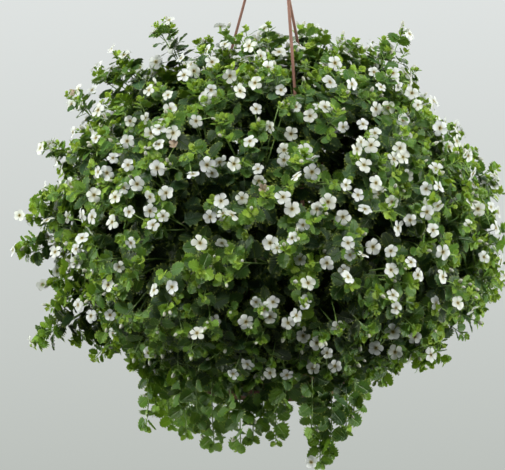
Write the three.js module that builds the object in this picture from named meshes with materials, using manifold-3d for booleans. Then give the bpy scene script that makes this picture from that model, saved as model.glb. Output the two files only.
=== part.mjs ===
// A hanging pot of white bacopa, in millimetres.
// The origin is the point at which the hook hangs, +Z is up and -Y is the front.
// A round plastic pot of soil hangs on three strands. Leafy stems stand in holes in the soil and
// arch out into a wide bush. Each one ends in a mound of foliage, and a spray of blooms stands on
// each mound. Trailing stems fall over the rim and hang below the pot.

import * as THREE from "three";
import { mergeVertices } from "three/addons/utils/BufferGeometryUtils.js";
import Module from "manifold-3d";

const wasm = await Module();
wasm.setup();

const { degToRad } = THREE.MathUtils;
const UP = new THREE.Vector3(0, 0, 1);
const RIGHT = new THREE.Vector3(1, 0, 0);
const GOLDEN_ANGLE = degToRad(137.508);
const GAP = 0.3; // between pieces that touch
const MERGE_DISTANCE = 0.002;

// Pot.
const RIM_LEVEL = -404;
const RIM_RADIUS = 110;
const POT_HEIGHT = 145;
const POT_TOP_RADIUS = 94;
const POT_BASE_RADIUS = 70;
const POT_WALL = 2.5;
const FLANGE = 3;
const LIP_DROP = 12;
const POT_SEGMENTS = 24;
const DRAIN_HOLES = 5;
const DRAIN_HOLE_RADIUS = 6;
const DRAIN_RING_RADIUS = 42;

// Soil.
const SOIL_LEVEL = RIM_LEVEL - 14;
const SOIL_CROWN = 5;
const SOIL_HOLE_DEPTH = 12;

// Hanger.
const STRAND_AZIMUTHS = [48, 168, 288].map(degToRad);
const STRAND_RADIUS = 1.6;
const STRAND_RING_RADIUS = 99;
const STRAND_HOLE_RADIUS = 3;
const HANGER_TWIST = degToRad(102); // the hook has turned on its support
const HUB_LEVEL = -52;
const HUB_RADIUS = 13;
const HUB_THICKNESS = 4;
const HUB_RING_RADIUS = 7.5;
const HUB_HOLE_RADIUS = 2.5;
const KNOB_RADIUS = 3.4;
const KNOB_HEIGHT = 4;
const HOOK_INSIDE_RADIUS = 11;
const HOOK_ROD_RADIUS = 3;

// Bush: a superellipsoid, taller above its widest level than below it.
const BUSH_CENTRE = new THREE.Vector3(-10, 0, RIM_LEVEL + 7);
const BUSH_RADIUS = 236;
const BUSH_ABOVE = 202;
const BUSH_BELOW = 128;
const BUSH_POWER = 2.2;

// Leafy stems and the mounds of foliage at their ends.
const LEAFY_STEMS = 19;
const LOWEST_POLAR = degToRad(109);
const SPIRAL_TURN = degToRad(24);
const MOUND_FLOOR = 0.72; // as a share of the bush's radius
const MOUND_TOP = 0.92;
const MOUND_SPREAD = 92;
const MOUND_INNER_LIMIT = 130; // keeps the low mounds clear of the pot and the trailing stems
const STEM_RADIUS = 2.4;
const STEM_SIDES = 3;
const STEM_STEPS = 6;
const BENDS = [0, 8, -8, 16, -16, 24, -24, 34, -34, 46, -46];
const ROOT_SPREAD = 76;
const LEAVES_PER_MOUND = 9;
const LEAF_LENGTH = 52;
const LEAF_ATTEMPTS = 20;
const LEAF_THICKNESS = 1.4;
const LEAF_ROOT_DEPTH = 6;

// Blooms.
const BLOOMS_PER_SPRAY = 7;
const PETALS = 5;
const BLOOM_RADIUS = 14;
const BLOOM_NOTCH_RADIUS = 8;
const BLOOM_HEIGHT = 19; // above the mound
const PEDICEL_RADIUS = 1.3;
const SPRAY_STALK_RADIUS = 2.8;
const SPRAY_STALK_DEPTH = 12;
const SPRAY_STALK_HEIGHT = 17;
const PEDICEL_JOINT = 3.5; // below the top of the stalk
const BLOOM_ATTEMPTS = 24;

// Trailing stems, each forking into two at the rim.
const TRAILING_STEMS = 6;
const TRAILING_STEPS = 10;
const TRAILING_TURN = degToRad(18);
const TRAILING_ROOT_RADIUS = 82;
const TRAILING_HANG_RADIUS = 112;
const TRAILING_FORK = degToRad(14);
const TRAILING_DROP = 198;
const TRAILING_LEAF_LENGTH = 40;
const TRAILING_LEAF_SPACING = 40;
const TRAILING_LEAF_STRETCH = 90;

const colours = {
  plastic: { color: 0x8a4f3a, roughness: 0.55, metalness: 0 },
  soil: { color: 0x2a1d14, roughness: 1, metalness: 0 },
  foliage: { color: 0x47752c, roughness: 0.6, metalness: 0 },
  petals: { color: 0xf2f2ee, roughness: 0.55, metalness: 0 },
};
const materials = Object.fromEntries(
  Object.entries(colours).map(([name, values]) => [name, new THREE.MeshStandardMaterial(values)]),
);

// Seeded random numbers from 0 to 1.
let seed = 20250;
function random() {
  seed = (Math.imul(seed, 1664525) + 1013904223) >>> 0;
  return seed / 2 ** 32;
}
const between = (low, high) => low + (high - low) * random();

// Solids.
function solidOf(geometry) {
  const bare = geometry.clone();
  bare.deleteAttribute("normal");
  bare.deleteAttribute("uv");
  const merged = mergeVertices(bare, 1e-3);
  const mesh = new wasm.Mesh({
    numProp: 3,
    vertProperties: merged.attributes.position.array,
    triVerts: new Uint32Array(merged.index.array),
  });
  return new wasm.Manifold(mesh);
}

function joined(solids) {
  return solids.reduce((whole, next) => whole.add(next));
}

// A solid is sound if it is one body and no two of its vertices are so close that they could merge.
function isSound(solid) {
  const { vertProperties } = solid.getMesh();
  const corners = [];
  for (let i = 0; i < vertProperties.length; i += 3) {
    corners.push(new THREE.Vector3().fromArray(vertProperties, i));
  }
  corners.sort((a, b) => a.x - b.x);
  for (let i = 0; i < corners.length; i += 1) {
    for (let k = i + 1; k < corners.length && corners[k].x - corners[i].x < MERGE_DISTANCE; k += 1) {
      if (corners[i].distanceTo(corners[k]) < MERGE_DISTANCE) return false;
    }
  }
  return solid.decompose().length === 1;
}

// The largest body of a solid, without the loose scraps that a cut can leave.
function largestBody(solid) {
  const bodies = solid.decompose();
  return bodies.reduce((best, body) => (body.volume() > best.volume() ? body : best));
}

function geometryOf(solid) {
  const mesh = solid.getMesh();
  const geometry = new THREE.BufferGeometry();
  geometry.setAttribute("position", new THREE.BufferAttribute(mesh.vertProperties, mesh.numProp));
  geometry.setIndex(new THREE.BufferAttribute(mesh.triVerts, 1));
  geometry.computeVertexNormals();
  return geometry;
}

function lathe(profile, segments) {
  const points = profile.map(([radius, height]) => new THREE.Vector2(radius, height));
  return solidOf(new THREE.LatheGeometry(points, segments).rotateX(Math.PI / 2));
}

function rod(start, end, radius, sides) {
  const axis = end.clone().sub(start);
  const turn = new THREE.Quaternion().setFromUnitVectors(
    new THREE.Vector3(0, 1, 0),
    axis.clone().normalize(),
  );
  const middle = start.clone().add(end).multiplyScalar(0.5);
  const geometry = new THREE.CylinderGeometry(radius, radius, axis.length(), sides);
  return solidOf(geometry.applyQuaternion(turn).translate(middle.x, middle.y, middle.z));
}

function tube(curve, radius, sides, steps) {
  const corners = Array.from({ length: sides }, (_, i) => {
    const angle = (2 * Math.PI * i) / sides;
    return new THREE.Vector2(radius * Math.cos(angle), radius * Math.sin(angle));
  });
  const options = { steps, extrudePath: curve, bevelEnabled: false };
  return solidOf(new THREE.ExtrudeGeometry(new THREE.Shape(corners), options));
}

// A thin blade: an outline between one point above its middle and one below.
function blade(outline, middle, above, below) {
  const count = outline.length;
  const index = outline.flatMap((_, i) => {
    const next = (i + 1) % count;
    return [i, next, count, next, i, count + 1];
  });
  const top = [middle[0], middle[1], above];
  const bottom = [middle[0], middle[1], below];
  const geometry = new THREE.BufferGeometry();
  const position = [...outline, top, bottom].flat();
  geometry.setAttribute("position", new THREE.Float32BufferAttribute(position, 3));
  geometry.setIndex(index);
  return geometry;
}

// A point at a radius, an azimuth and a height.
function polarPoint(radius, azimuth, height) {
  return new THREE.Vector3(radius * Math.cos(azimuth), radius * Math.sin(azimuth), height);
}

function frameMatrix(origin, along, facing) {
  const side = along.clone().cross(facing).normalize();
  const face = side.clone().cross(along).normalize();
  return new THREE.Matrix4().makeBasis(side, along, face).setPosition(origin);
}

// A leaf grows along +Y from its root and faces +Z. It is round, with five coarse teeth.
function leafGeometry(length, spare = 0) {
  const reach = 0.42 * length + spare;
  const centre = 0.58 * length;
  const toothed = [-140, -105, -70, -35, 0, 35, 70, 105, 140].map((degrees, i) => {
    const angle = degToRad(degrees);
    const radius = reach * (i % 2 ? 0.84 : 1);
    const x = -radius * Math.sin(angle);
    return [x, centre + radius * Math.cos(angle), 0.16 * Math.abs(x)];
  });
  const half = LEAF_THICKNESS / 2 + spare;
  return blade([[0, 0, 0], ...toothed.reverse()].reverse(), [0, centre], half, -half);
}

// A bloom with five round petals and a sunken throat. Its three-sided pedicel tapers to `foot`.
function bloomGeometry(centre, facing, foot, spare = 0) {
  const across = facing.clone().cross(Math.abs(facing.z) < 0.9 ? UP : RIGHT).normalize();
  const over = facing.clone().cross(across);
  const point = (radius, angle, height) =>
    centre
      .clone()
      .addScaledVector(across, radius * Math.cos(angle))
      .addScaledVector(over, radius * Math.sin(angle))
      .addScaledVector(facing, height);
  const petals = Array.from({ length: 2 * PETALS }, (_, i) => {
    const angle = (Math.PI * i) / PETALS;
    return i % 2
      ? point(BLOOM_NOTCH_RADIUS + spare, angle, -0.6)
      : point(BLOOM_RADIUS + spare, angle, 1);
  });
  const neck = [0, 1, 2].map((i) => point(PEDICEL_RADIUS + spare, (2 * Math.PI * i) / 3, -5));
  const throat = point(0, 0, spare - 1.6);
  const neckStart = petals.length;
  const throatIndex = neckStart + 3;
  const footIndex = neckStart + 4;
  const nearestNeck = (i) => neckStart + (Math.round((3 * i) / petals.length) % 3);
  const index = [];
  for (let i = 0; i < petals.length; i += 1) {
    const next = (i + 1) % petals.length;
    index.push(i, next, throatIndex, next, i, nearestNeck(i));
    if (nearestNeck(next) !== nearestNeck(i)) index.push(next, nearestNeck(i), nearestNeck(next));
  }
  for (let i = 0; i < 3; i += 1) {
    index.push(neckStart + ((i + 1) % 3), neckStart + i, footIndex);
  }
  const geometry = new THREE.BufferGeometry();
  const position = [...petals, ...neck, throat, foot].flatMap((corner) => corner.toArray());
  geometry.setAttribute("position", new THREE.Float32BufferAttribute(position, 3));
  geometry.setIndex(index);
  return geometry;
}

// Pot.
function potSolid() {
  const base = RIM_LEVEL - POT_HEIGHT;
  const shell = lathe(
    [
      [0, base],
      [POT_BASE_RADIUS, base],
      [POT_TOP_RADIUS, RIM_LEVEL - LIP_DROP],
      [POT_TOP_RADIUS, RIM_LEVEL - FLANGE],
      [RIM_RADIUS - POT_WALL, RIM_LEVEL - FLANGE],
      [RIM_RADIUS - POT_WALL, RIM_LEVEL - LIP_DROP],
      [RIM_RADIUS, RIM_LEVEL - LIP_DROP],
      [RIM_RADIUS, RIM_LEVEL],
      [POT_TOP_RADIUS - POT_WALL, RIM_LEVEL],
      [POT_TOP_RADIUS - POT_WALL, RIM_LEVEL - LIP_DROP],
      [POT_BASE_RADIUS - POT_WALL, base + FLANGE],
      [0, base + FLANGE],
    ],
    POT_SEGMENTS,
  );
  const hole = (ring, azimuth, level, radius) =>
    rod(
      polarPoint(ring, azimuth, level - FLANGE),
      polarPoint(ring, azimuth, level + FLANGE),
      radius,
      6,
    );
  const drains = Array.from({ length: DRAIN_HOLES }, (_, i) =>
    hole(DRAIN_RING_RADIUS, (2 * Math.PI * i) / DRAIN_HOLES, base + FLANGE / 2, DRAIN_HOLE_RADIUS),
  );
  const strandHoles = STRAND_AZIMUTHS.map((azimuth) =>
    hole(STRAND_RING_RADIUS, azimuth, RIM_LEVEL - FLANGE / 2, STRAND_HOLE_RADIUS),
  );
  return shell.subtract(joined([...drains, ...strandHoles]));
}

// Hanger: the hook with its hub, and three strands knobbed at both ends.
function strandEnds(azimuth) {
  return {
    top: polarPoint(HUB_RING_RADIUS, azimuth + HANGER_TWIST, HUB_LEVEL),
    bottom: polarPoint(STRAND_RING_RADIUS, azimuth, RIM_LEVEL - FLANGE),
  };
}

function strandSolid(azimuth) {
  const { top, bottom } = strandEnds(azimuth);
  const along = bottom.clone().sub(top).normalize();
  const sunk = KNOB_HEIGHT / 2;
  const knob = (seat, way) =>
    rod(
      seat.clone().addScaledVector(UP, way * GAP),
      seat.clone().addScaledVector(UP, way * (GAP + KNOB_HEIGHT)),
      KNOB_RADIUS,
      6,
    );
  const strand = rod(
    top.clone().addScaledVector(along, -sunk),
    bottom.clone().addScaledVector(along, sunk),
    STRAND_RADIUS,
    6,
  );
  return joined([strand, knob(top, 1), knob(bottom, -1)]);
}

function hookCurve() {
  const radius = HOOK_INSIDE_RADIUS + HOOK_ROD_RADIUS;
  const bend = Array.from({ length: 10 }, (_, i) => {
    const angle = degToRad(-30 + 25 * i);
    const height = radius * Math.sin(angle) - HOOK_INSIDE_RADIUS;
    return new THREE.Vector3(radius * Math.cos(angle), 0, height);
  });
  const shank = [-1, 8, 17].map((rise) => new THREE.Vector3(0, 0, HUB_LEVEL + rise));
  return new THREE.CatmullRomCurve3([...shank, ...bend], false, "centripetal");
}

function hookSolid() {
  const under = new THREE.Vector3(0, 0, HUB_LEVEL - HUB_THICKNESS);
  const disc = rod(under, new THREE.Vector3(0, 0, HUB_LEVEL), HUB_RADIUS, 14);
  const holes = STRAND_AZIMUTHS.map((azimuth) => {
    const { top, bottom } = strandEnds(azimuth);
    const along = bottom.clone().sub(top).normalize().multiplyScalar(HUB_THICKNESS + 2);
    return rod(top.clone().sub(along), top.clone().add(along), HUB_HOLE_RADIUS, 6);
  });
  return tube(hookCurve(), HOOK_ROD_RADIUS, 6, 18).add(disc).subtract(joined(holes));
}

// Bush.
function bushRadius(polar) {
  const tall = Math.cos(polar) > 0 ? BUSH_ABOVE : BUSH_BELOW;
  const upward = Math.abs(Math.cos(polar)) / tall;
  const outward = Math.sin(polar) / BUSH_RADIUS;
  return (upward ** BUSH_POWER + outward ** BUSH_POWER) ** (-1 / BUSH_POWER);
}

// The places of the mounds follow a golden-angle spiral from the top of the bush downwards.
const mounds = Array.from({ length: LEAFY_STEMS }, (_, i) => {
  const share = (i + 0.5) / LEAFY_STEMS;
  const polar = Math.acos(1 - share * (1 - Math.cos(LOWEST_POLAR)));
  const azimuth = i * GOLDEN_ANGLE + SPIRAL_TURN;
  const outward = polarPoint(Math.sin(polar), azimuth, Math.cos(polar));
  const radius = bushRadius(polar);
  const floor = BUSH_CENTRE.clone().addScaledVector(outward, MOUND_FLOOR * radius);
  const height = (MOUND_TOP - MOUND_FLOOR) * radius;
  const across = polarPoint(1, azimuth + Math.PI / 2, 0);
  const downward = across.clone().cross(outward).negate();
  const root = polarPoint(ROOT_SPREAD * Math.sqrt(share), azimuth, SOIL_LEVEL - SOIL_HOLE_DEPTH + GAP);
  return { polar, azimuth, outward, across, downward, floor, height, root };
});

// A point on a mound's surface, `share` of the way from its middle to its edge, with the rounded
// mound's normal there. It is null where a neighbour cuts the mound off.
function onMound(mound, share, turn) {
  const sideways = mound.across
    .clone()
    .multiplyScalar(Math.cos(turn))
    .addScaledVector(mound.downward, Math.sin(turn));
  const above = mound.floor
    .clone()
    .addScaledVector(sideways, MOUND_SPREAD * share)
    .addScaledVector(mound.outward, 2 * mound.height);
  const ray = new THREE.Raycaster(above, mound.outward.clone().negate());
  const [hit] = ray.intersectObject(mound.surface);
  if (!hit) return null;
  const normal = sideways
    .clone()
    .multiplyScalar(share / MOUND_SPREAD)
    .addScaledVector(mound.outward, Math.sqrt(1 - share * share) / mound.height)
    .normalize();
  return { place: hit.point, normal, sideways };
}

function moundSolid(mound) {
  const geometry = new THREE.IcosahedronGeometry(1.1, 0);
  geometry.applyMatrix4(
    new THREE.Matrix4()
      .makeBasis(
        mound.across.clone().multiplyScalar(MOUND_SPREAD),
        mound.downward.clone().multiplyScalar(MOUND_SPREAD),
        mound.outward.clone().multiplyScalar(mound.height),
      )
      .setPosition(mound.floor),
  );
  let solid = solidOf(geometry);
  const keep = (normal, point) => {
    solid = solid.trimByPlane(normal.toArray(), normal.dot(point) + GAP);
  };
  keep(mound.outward, mound.floor);
  for (const other of mounds) {
    const apart = mound.floor.clone().sub(other.floor);
    if (other === mound || apart.length() > 2 * MOUND_SPREAD) continue;
    keep(apart.normalize(), mound.floor.clone().add(other.floor).multiplyScalar(0.5));
  }
  if (mound.polar > degToRad(70)) {
    const radial = polarPoint(1, mound.azimuth, 0);
    keep(radial, radial.clone().multiplyScalar(MOUND_INNER_LIMIT));
  }
  return solid;
}

// A stem leaves its hole upright, clears the rim if it goes far out, and enters its mound from below.
// `bend` moves its middle sideways, round whatever is in its way.
function stemCurve(mound, bend) {
  const low = Math.max(0, Math.sin(mound.polar - degToRad(50)));
  const soil = mound.root.clone().setZ(SOIL_LEVEL + 13);
  const rise = mound.root.clone().setZ(RIM_LEVEL + 24 + 10 * low);
  rise.addScaledVector(mound.across, bend / 3);
  const inside = mound.floor.clone().addScaledVector(mound.outward, -36);
  inside.addScaledVector(mound.across, bend);
  inside.z = Math.max(inside.z, RIM_LEVEL + 26);
  const end = mound.floor.clone().addScaledVector(mound.outward, 6);
  return new THREE.CatmullRomCurve3([mound.root, soil, rise, inside, end], false, "centripetal");
}

// Nodes, by name, each with its solid.
const nodes = new Map();

// Whether a solid overlaps no node but the one that it belongs to.
function isClear(name, solid) {
  const box = solid.boundingBox();
  for (const [other, node] of nodes) {
    if (other === name) continue;
    const far = node.solid.boundingBox();
    const apart = [0, 1, 2].some((k) => box.min[k] > far.max[k] || box.max[k] < far.min[k]);
    if (!apart && solid.intersect(node.solid).volume() > 1e-6) return false;
  }
  return true;
}

// Adds a leaf to a node, in the first of its poses that is clear of every other node and crosses
// no leaf of its own node.
function grow(name, poses, length) {
  const node = nodes.get(name);
  for (const pose of poses) {
    const leaf = solidOf(leafGeometry(length).applyMatrix4(pose));
    const roomy = solidOf(leafGeometry(length, GAP).applyMatrix4(pose));
    const crossing = leaf.intersect(node.solid).volume() - leaf.intersect(node.core).volume();
    if (crossing > 1e-3 || !isClear(name, roomy)) continue;
    const whole = node.solid.add(leaf);
    if (!isSound(whole)) continue;
    node.solid = whole;
    return true;
  }
  return false;
}

nodes.set("pot", { solid: potSolid(), material: "plastic" });
nodes.set("hook", { solid: hookSolid(), material: "plastic" });
STRAND_AZIMUTHS.forEach((azimuth, i) => {
  nodes.set(`hanger_strand_${i + 1}`, { solid: strandSolid(azimuth), material: "plastic" });
});

const numbered = (word, i) => `${word}_${String(i + 1).padStart(2, "0")}`;
const channels = joined(
  STRAND_AZIMUTHS.map((azimuth) => {
    const { top, bottom } = strandEnds(azimuth);
    return rod(top, bottom, STRAND_RADIUS + 2 * GAP, 6);
  }),
);

// Mounds, each with a hole for its spray's stalk.
mounds.forEach((mound, i) => {
  const stalkTop = mound.floor.clone().addScaledVector(mound.outward, mound.height);
  const hole = rod(
    stalkTop.clone().addScaledVector(mound.outward, -SPRAY_STALK_DEPTH),
    stalkTop.clone().addScaledVector(mound.outward, SPRAY_STALK_DEPTH),
    SPRAY_STALK_RADIUS + 3 * GAP,
    4,
  );
  const solid = largestBody(moundSolid(mound).subtract(channels).subtract(hole));
  nodes.set(numbered("leafy_stem", i), { solid, material: "foliage" });
});

// Trailing stems. The second fork leaves the first above the rim.
function trailingPoints(azimuth, fork) {
  const drop = TRAILING_DROP * (0.8 - 0.16 * Math.cos(azimuth)) * between(0.92, 1.04);
  const sway = between(-8, 8);
  const out = azimuth + fork;
  return [
    polarPoint(TRAILING_ROOT_RADIUS, azimuth, SOIL_LEVEL - SOIL_HOLE_DEPTH + GAP),
    polarPoint(TRAILING_ROOT_RADIUS, azimuth, SOIL_LEVEL + 9),
    polarPoint(RIM_RADIUS - 8, azimuth + 0.4 * fork, RIM_LEVEL + 17),
    polarPoint(RIM_RADIUS + 8, azimuth + 0.8 * fork, RIM_LEVEL),
    polarPoint(TRAILING_HANG_RADIUS, out, RIM_LEVEL - 60),
    polarPoint(TRAILING_HANG_RADIUS + sway, out, RIM_LEVEL - 0.65 * drop),
    polarPoint(TRAILING_HANG_RADIUS - 14 + sway, out, RIM_LEVEL - drop),
  ];
}

const trailing = Array.from({ length: TRAILING_STEMS }, (_, i) => {
  const azimuth = TRAILING_TURN + (2 * Math.PI * i) / TRAILING_STEMS;
  const smooth = (points) => new THREE.CatmullRomCurve3(points, false, "centripetal");
  const points = trailingPoints(azimuth, -TRAILING_FORK);
  const first = smooth(points);
  const branching = first.getPointAt(2 / TRAILING_STEPS);
  const second = smooth([branching, ...trailingPoints(azimuth, TRAILING_FORK).slice(3)]);
  const forks = [first, second];
  const name = numbered("trailing_stem", i);
  const solid = joined(forks.map((curve) => tube(curve, STEM_RADIUS, 3, TRAILING_STEPS)));
  nodes.set(name, { solid, core: solid, material: "foliage" });
  return { name, root: points[0], forks };
});

// The stems of the mounds.
mounds.forEach((mound, i) => {
  const name = numbered("leafy_stem", i);
  const node = nodes.get(name);
  const stem = (bend, spare) => tube(stemCurve(mound, bend), STEM_RADIUS + spare, STEM_SIDES, STEM_STEPS);
  const bend = BENDS.find(
    (value) => isClear(name, stem(value, 2 * GAP)) && isSound(node.solid.add(stem(value, 0))),
  );
  node.solid = node.solid.add(stem(bend, 0));
  node.core = node.solid;
  mound.surface = new THREE.Mesh(geometryOf(node.solid));
});

// Soil, with a plain hole for each stem.
function soilSolid() {
  const base = RIM_LEVEL - POT_HEIGHT + FLANGE + GAP;
  const body = lathe(
    [
      [0, base],
      [POT_BASE_RADIUS - POT_WALL - 2 * GAP, base],
      [POT_TOP_RADIUS - POT_WALL - 2 * GAP, RIM_LEVEL - LIP_DROP],
      [POT_TOP_RADIUS - POT_WALL - 2 * GAP, SOIL_LEVEL],
      [0, SOIL_LEVEL + SOIL_CROWN],
    ],
    POT_SEGMENTS,
  );
  const roots = [
    ...mounds.map((mound) => ({ root: mound.root, radius: STEM_RADIUS + 5 * GAP })),
    ...trailing.map(({ root }) => ({ root, radius: STEM_RADIUS + 9 * GAP })),
  ];
  const holes = roots.map(({ root, radius }) => {
    const bottom = root.clone().setZ(SOIL_LEVEL - SOIL_HOLE_DEPTH);
    return rod(bottom, root.clone().setZ(SOIL_LEVEL + 20), radius, 4);
  });
  return body.subtract(joined(holes));
}
nodes.set("soil", { solid: soilSolid(), material: "soil" });

// Leaves of the mounds, spread like a sunflower's seeds. A leaf that has no room moves a little
// inwards, turns and rises.
mounds.forEach((mound, i) => {
  for (let k = 0; k < LEAVES_PER_MOUND; k += 1) {
    const poses = [];
    for (let attempt = 0; attempt < LEAF_ATTEMPTS; attempt += 1) {
      const share = 0.98 * Math.sqrt((k + 0.6) / LEAVES_PER_MOUND) * between(0.7, 1);
      const turn = k * GOLDEN_ANGLE + between(-0.06, 0.06) * attempt;
      const spot = onMound(mound, share, turn);
      if (!spot) continue;
      const tilt = degToRad(between(60, 74) - 2 * attempt);
      const along = spot.normal
        .clone()
        .multiplyScalar(Math.cos(tilt))
        .addScaledVector(spot.sideways, Math.sin(tilt))
        .addScaledVector(mound.across, between(-0.3, 0.3))
        .addScaledVector(mound.downward, between(0, 0.4))
        .normalize();
      const origin = spot.place.clone().addScaledVector(along, -LEAF_ROOT_DEPTH);
      poses.push(frameMatrix(origin, along, spot.normal));
    }
    const length = LEAF_LENGTH * between(0.88, 1.1);
    grow(numbered("leafy_stem", i), poses, length);
  }
});

// Leaves of the trailing stems, in pairs.
for (const { name, forks } of trailing) {
  for (const curve of forks) {
    for (let along = 0; along <= TRAILING_LEAF_STRETCH; along += TRAILING_LEAF_SPACING) {
      const share = 1 - along / curve.getLength();
      const place = curve.getPointAt(Math.min(share, 0.985));
      const down = curve.getTangentAt(share);
      const pairTurn = (along / TRAILING_LEAF_SPACING) * (Math.PI / 2) + between(-0.3, 0.3);
      for (const turn of [pairTurn, pairTurn + Math.PI]) {
        const poses = [0, 0.35, -0.35, 0.7, -0.7].map((swing) => {
          const outward = polarPoint(1, turn + swing, 0);
          const leafDirection = outward.clone().addScaledVector(down, 0.55).normalize();
          const facing = outward.clone().addScaledVector(UP, 1.2).normalize();
          return frameMatrix(place, leafDirection, facing);
        });
        const length = TRAILING_LEAF_LENGTH * between(0.8, 1.05);
        grow(name, poses, length);
      }
    }
  }
}

// Sprays of blooms, one standing on each mound. A bloom that has no room tries again, a little
// higher each time.
mounds.forEach((mound, i) => {
  const top = mound.floor.clone().addScaledVector(mound.outward, mound.height);
  const head = top.clone().addScaledVector(mound.outward, SPRAY_STALK_HEIGHT);
  const foot = top.clone().addScaledVector(mound.outward, GAP - SPRAY_STALK_DEPTH);
  const joint = head.clone().addScaledVector(mound.outward, -PEDICEL_JOINT);
  const name = numbered("bloom_spray", i);
  const node = { solid: rod(foot, head, SPRAY_STALK_RADIUS, 4), material: "petals" };
  nodes.set(name, node);
  for (let k = 0; k < BLOOMS_PER_SPRAY; k += 1) {
    for (let attempt = 0; attempt < BLOOM_ATTEMPTS; attempt += 1) {
      const share = k ? between(0.5, 0.86) : between(0, 0.15);
      const turn = ((k + between(-0.25, 0.25)) * 2 * Math.PI) / (BLOOMS_PER_SPRAY - 1);
      const spot = onMound(mound, share, turn);
      if (!spot) continue;
      const height = BLOOM_HEIGHT + between(-3, 4 + attempt / 3);
      const centre = spot.place.clone().addScaledVector(spot.normal, height);
      const facing = spot.normal.clone().addScaledVector(mound.outward, 0.4).normalize();
      facing.addScaledVector(mound.across, between(-0.3, 0.3)).normalize();
      const inwards = joint.clone().sub(centre).normalize();
      const hidden = joint.clone().addScaledVector(inwards, 0.6 * SPRAY_STALK_RADIUS);
      if (!isClear(name, solidOf(bloomGeometry(centre, facing, hidden, 2 * GAP)))) continue;
      const whole = node.solid.add(solidOf(bloomGeometry(centre, facing, hidden)));
      if (!isSound(whole)) continue;
      node.solid = whole;
      break;
    }
  }
});

const part = new THREE.Group();
for (const [name, { solid, material }] of nodes) {
  const mesh = new THREE.Mesh(geometryOf(solid), materials[material]);
  mesh.name = name;
  part.add(mesh);
}

export default part;
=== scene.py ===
"""A hanging pot of white bacopa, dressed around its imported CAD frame.

The bush is grown shoot by shoot: leafy stems rise from the soil to the hubs of the mounds, branches
run on to sprigs, and each sprig opens into a few shoots with opposite pairs of toothed leaves and
small white blooms. Lengths are in millimetres here, and each piece is scaled to metres as it is made.
The origin is the point at which the hook hangs, +Z is up and -Y is the front.
"""

import math

import bmesh
import bpy
import numpy as np
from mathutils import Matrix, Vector


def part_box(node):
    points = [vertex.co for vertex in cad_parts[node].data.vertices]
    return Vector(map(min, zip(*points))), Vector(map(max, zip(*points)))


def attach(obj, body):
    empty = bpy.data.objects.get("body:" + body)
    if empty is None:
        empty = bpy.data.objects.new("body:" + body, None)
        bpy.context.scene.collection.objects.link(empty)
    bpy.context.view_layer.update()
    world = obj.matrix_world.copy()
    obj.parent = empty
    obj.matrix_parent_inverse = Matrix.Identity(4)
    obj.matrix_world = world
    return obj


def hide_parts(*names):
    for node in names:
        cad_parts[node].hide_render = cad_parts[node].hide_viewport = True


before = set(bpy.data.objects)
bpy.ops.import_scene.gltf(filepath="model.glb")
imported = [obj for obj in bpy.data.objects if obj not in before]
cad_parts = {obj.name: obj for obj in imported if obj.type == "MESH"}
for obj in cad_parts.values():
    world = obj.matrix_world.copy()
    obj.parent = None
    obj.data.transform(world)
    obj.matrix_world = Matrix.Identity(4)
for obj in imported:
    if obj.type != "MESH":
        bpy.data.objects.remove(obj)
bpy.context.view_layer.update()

MM = 0.001
SEED = 4021
UP = np.array((0.0, 0.0, 1.0))
REARWARD = np.array((0.0, 1.0, 0.0))
GOLDEN_ANGLE = math.radians(137.508)
SHARP_ANGLE = math.radians(40)  # edges sharper than this stay crisp

# Sizes that the CAD part has too.
RIM_LEVEL = -404
RIM_RADIUS = 110
POT_HEIGHT = 145
POT_TOP_RADIUS = 94
POT_BASE_RADIUS = 70
POT_WALL = 2.5
FLANGE = 3
LIP_DROP = 12
DRAIN_HOLES = 5
DRAIN_HOLE_RADIUS = 6
DRAIN_RING_RADIUS = 42
SOIL_LEVEL = RIM_LEVEL - 14
SOIL_HOLE_DEPTH = 12
STRAND_AZIMUTHS = [math.radians(a) for a in (48, 168, 288)]
STRAND_RING_RADIUS = 99
STRAND_HOLE_RADIUS = 3
HANGER_TWIST = math.radians(102)
HUB_LEVEL = -52
HUB_RADIUS = 13
HUB_THICKNESS = 4
HUB_RING_RADIUS = 7.5
HUB_HOLE_RADIUS = 2.5
KNOB_RADIUS = 3.4
KNOB_HEIGHT = 4
KNOB_GAP = 0.3
HOOK_INSIDE_RADIUS = 11
HOOK_ROD_RADIUS = 3
LEAFY_STEMS = 19
LOWEST_POLAR = math.radians(109)  # the angle from straight up to the lowest mound
SPIRAL_TURN = math.radians(24)
ROOT_SPREAD = 76
TRAILING_STEMS = 6
TRAILING_TURN = math.radians(18)
TRAILING_DROP = 198
TRAILING_ROOT_RADIUS = 82
TRAILING_HANG_RADIUS = 112

# The bush: a superellipsoid of shoot tips, a little fuller than the solids inside it.
BUSH_CENTRE = np.array((-10.0, 0.0, RIM_LEVEL + 7))
BUSH_RADIUS = 222
BUSH_ABOVE = 197
BUSH_BELOW = 138
POWER_ABOVE = 2.2
POWER_BELOW = 2.4
BUSH_LEAN = 0.085  # the bush is a little wider on its right
BUSH_UNDERSIDE = math.radians(156)
LUMPS = 0.020
LUMP_COUNT = 7
LUMP_DENSITY = 5.5
PARTING_LEVELS = (-206, -184, -246)  # where each strand goes into the leaves
PARTING_SIDE = 0.17  # the front of the top dips here, so that the strands show
PARTING_WIDTH = 0.17
PARTING_DIP = 0.18

# Sprigs, shoots and leaves.
SPRIG_SPACING = 35
SPRIG_TRIES = 16000
SPRIG_LENGTH = 72
SHOOT_SPREAD = 20
NODE_DISTANCES = np.array((0.8, 2.6, 5.2, 9.0, 14.5, 22.0, 31.5, 43.0, 56.0))
NODE_LEAVES = np.array((3.6, 5.2, 7.2, 9.8, 12.5, 14.5, 15.8, 16.5, 17.0))
YOUNG_REACH = 9.5  # nearer the tip than this, leaves are young
SHADE_REACH = 36  # further back than this, leaves are seldom seen
PETIOLE = 0.24
STEM_TIP = 0.5
STEM_BASE = 0.9

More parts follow.
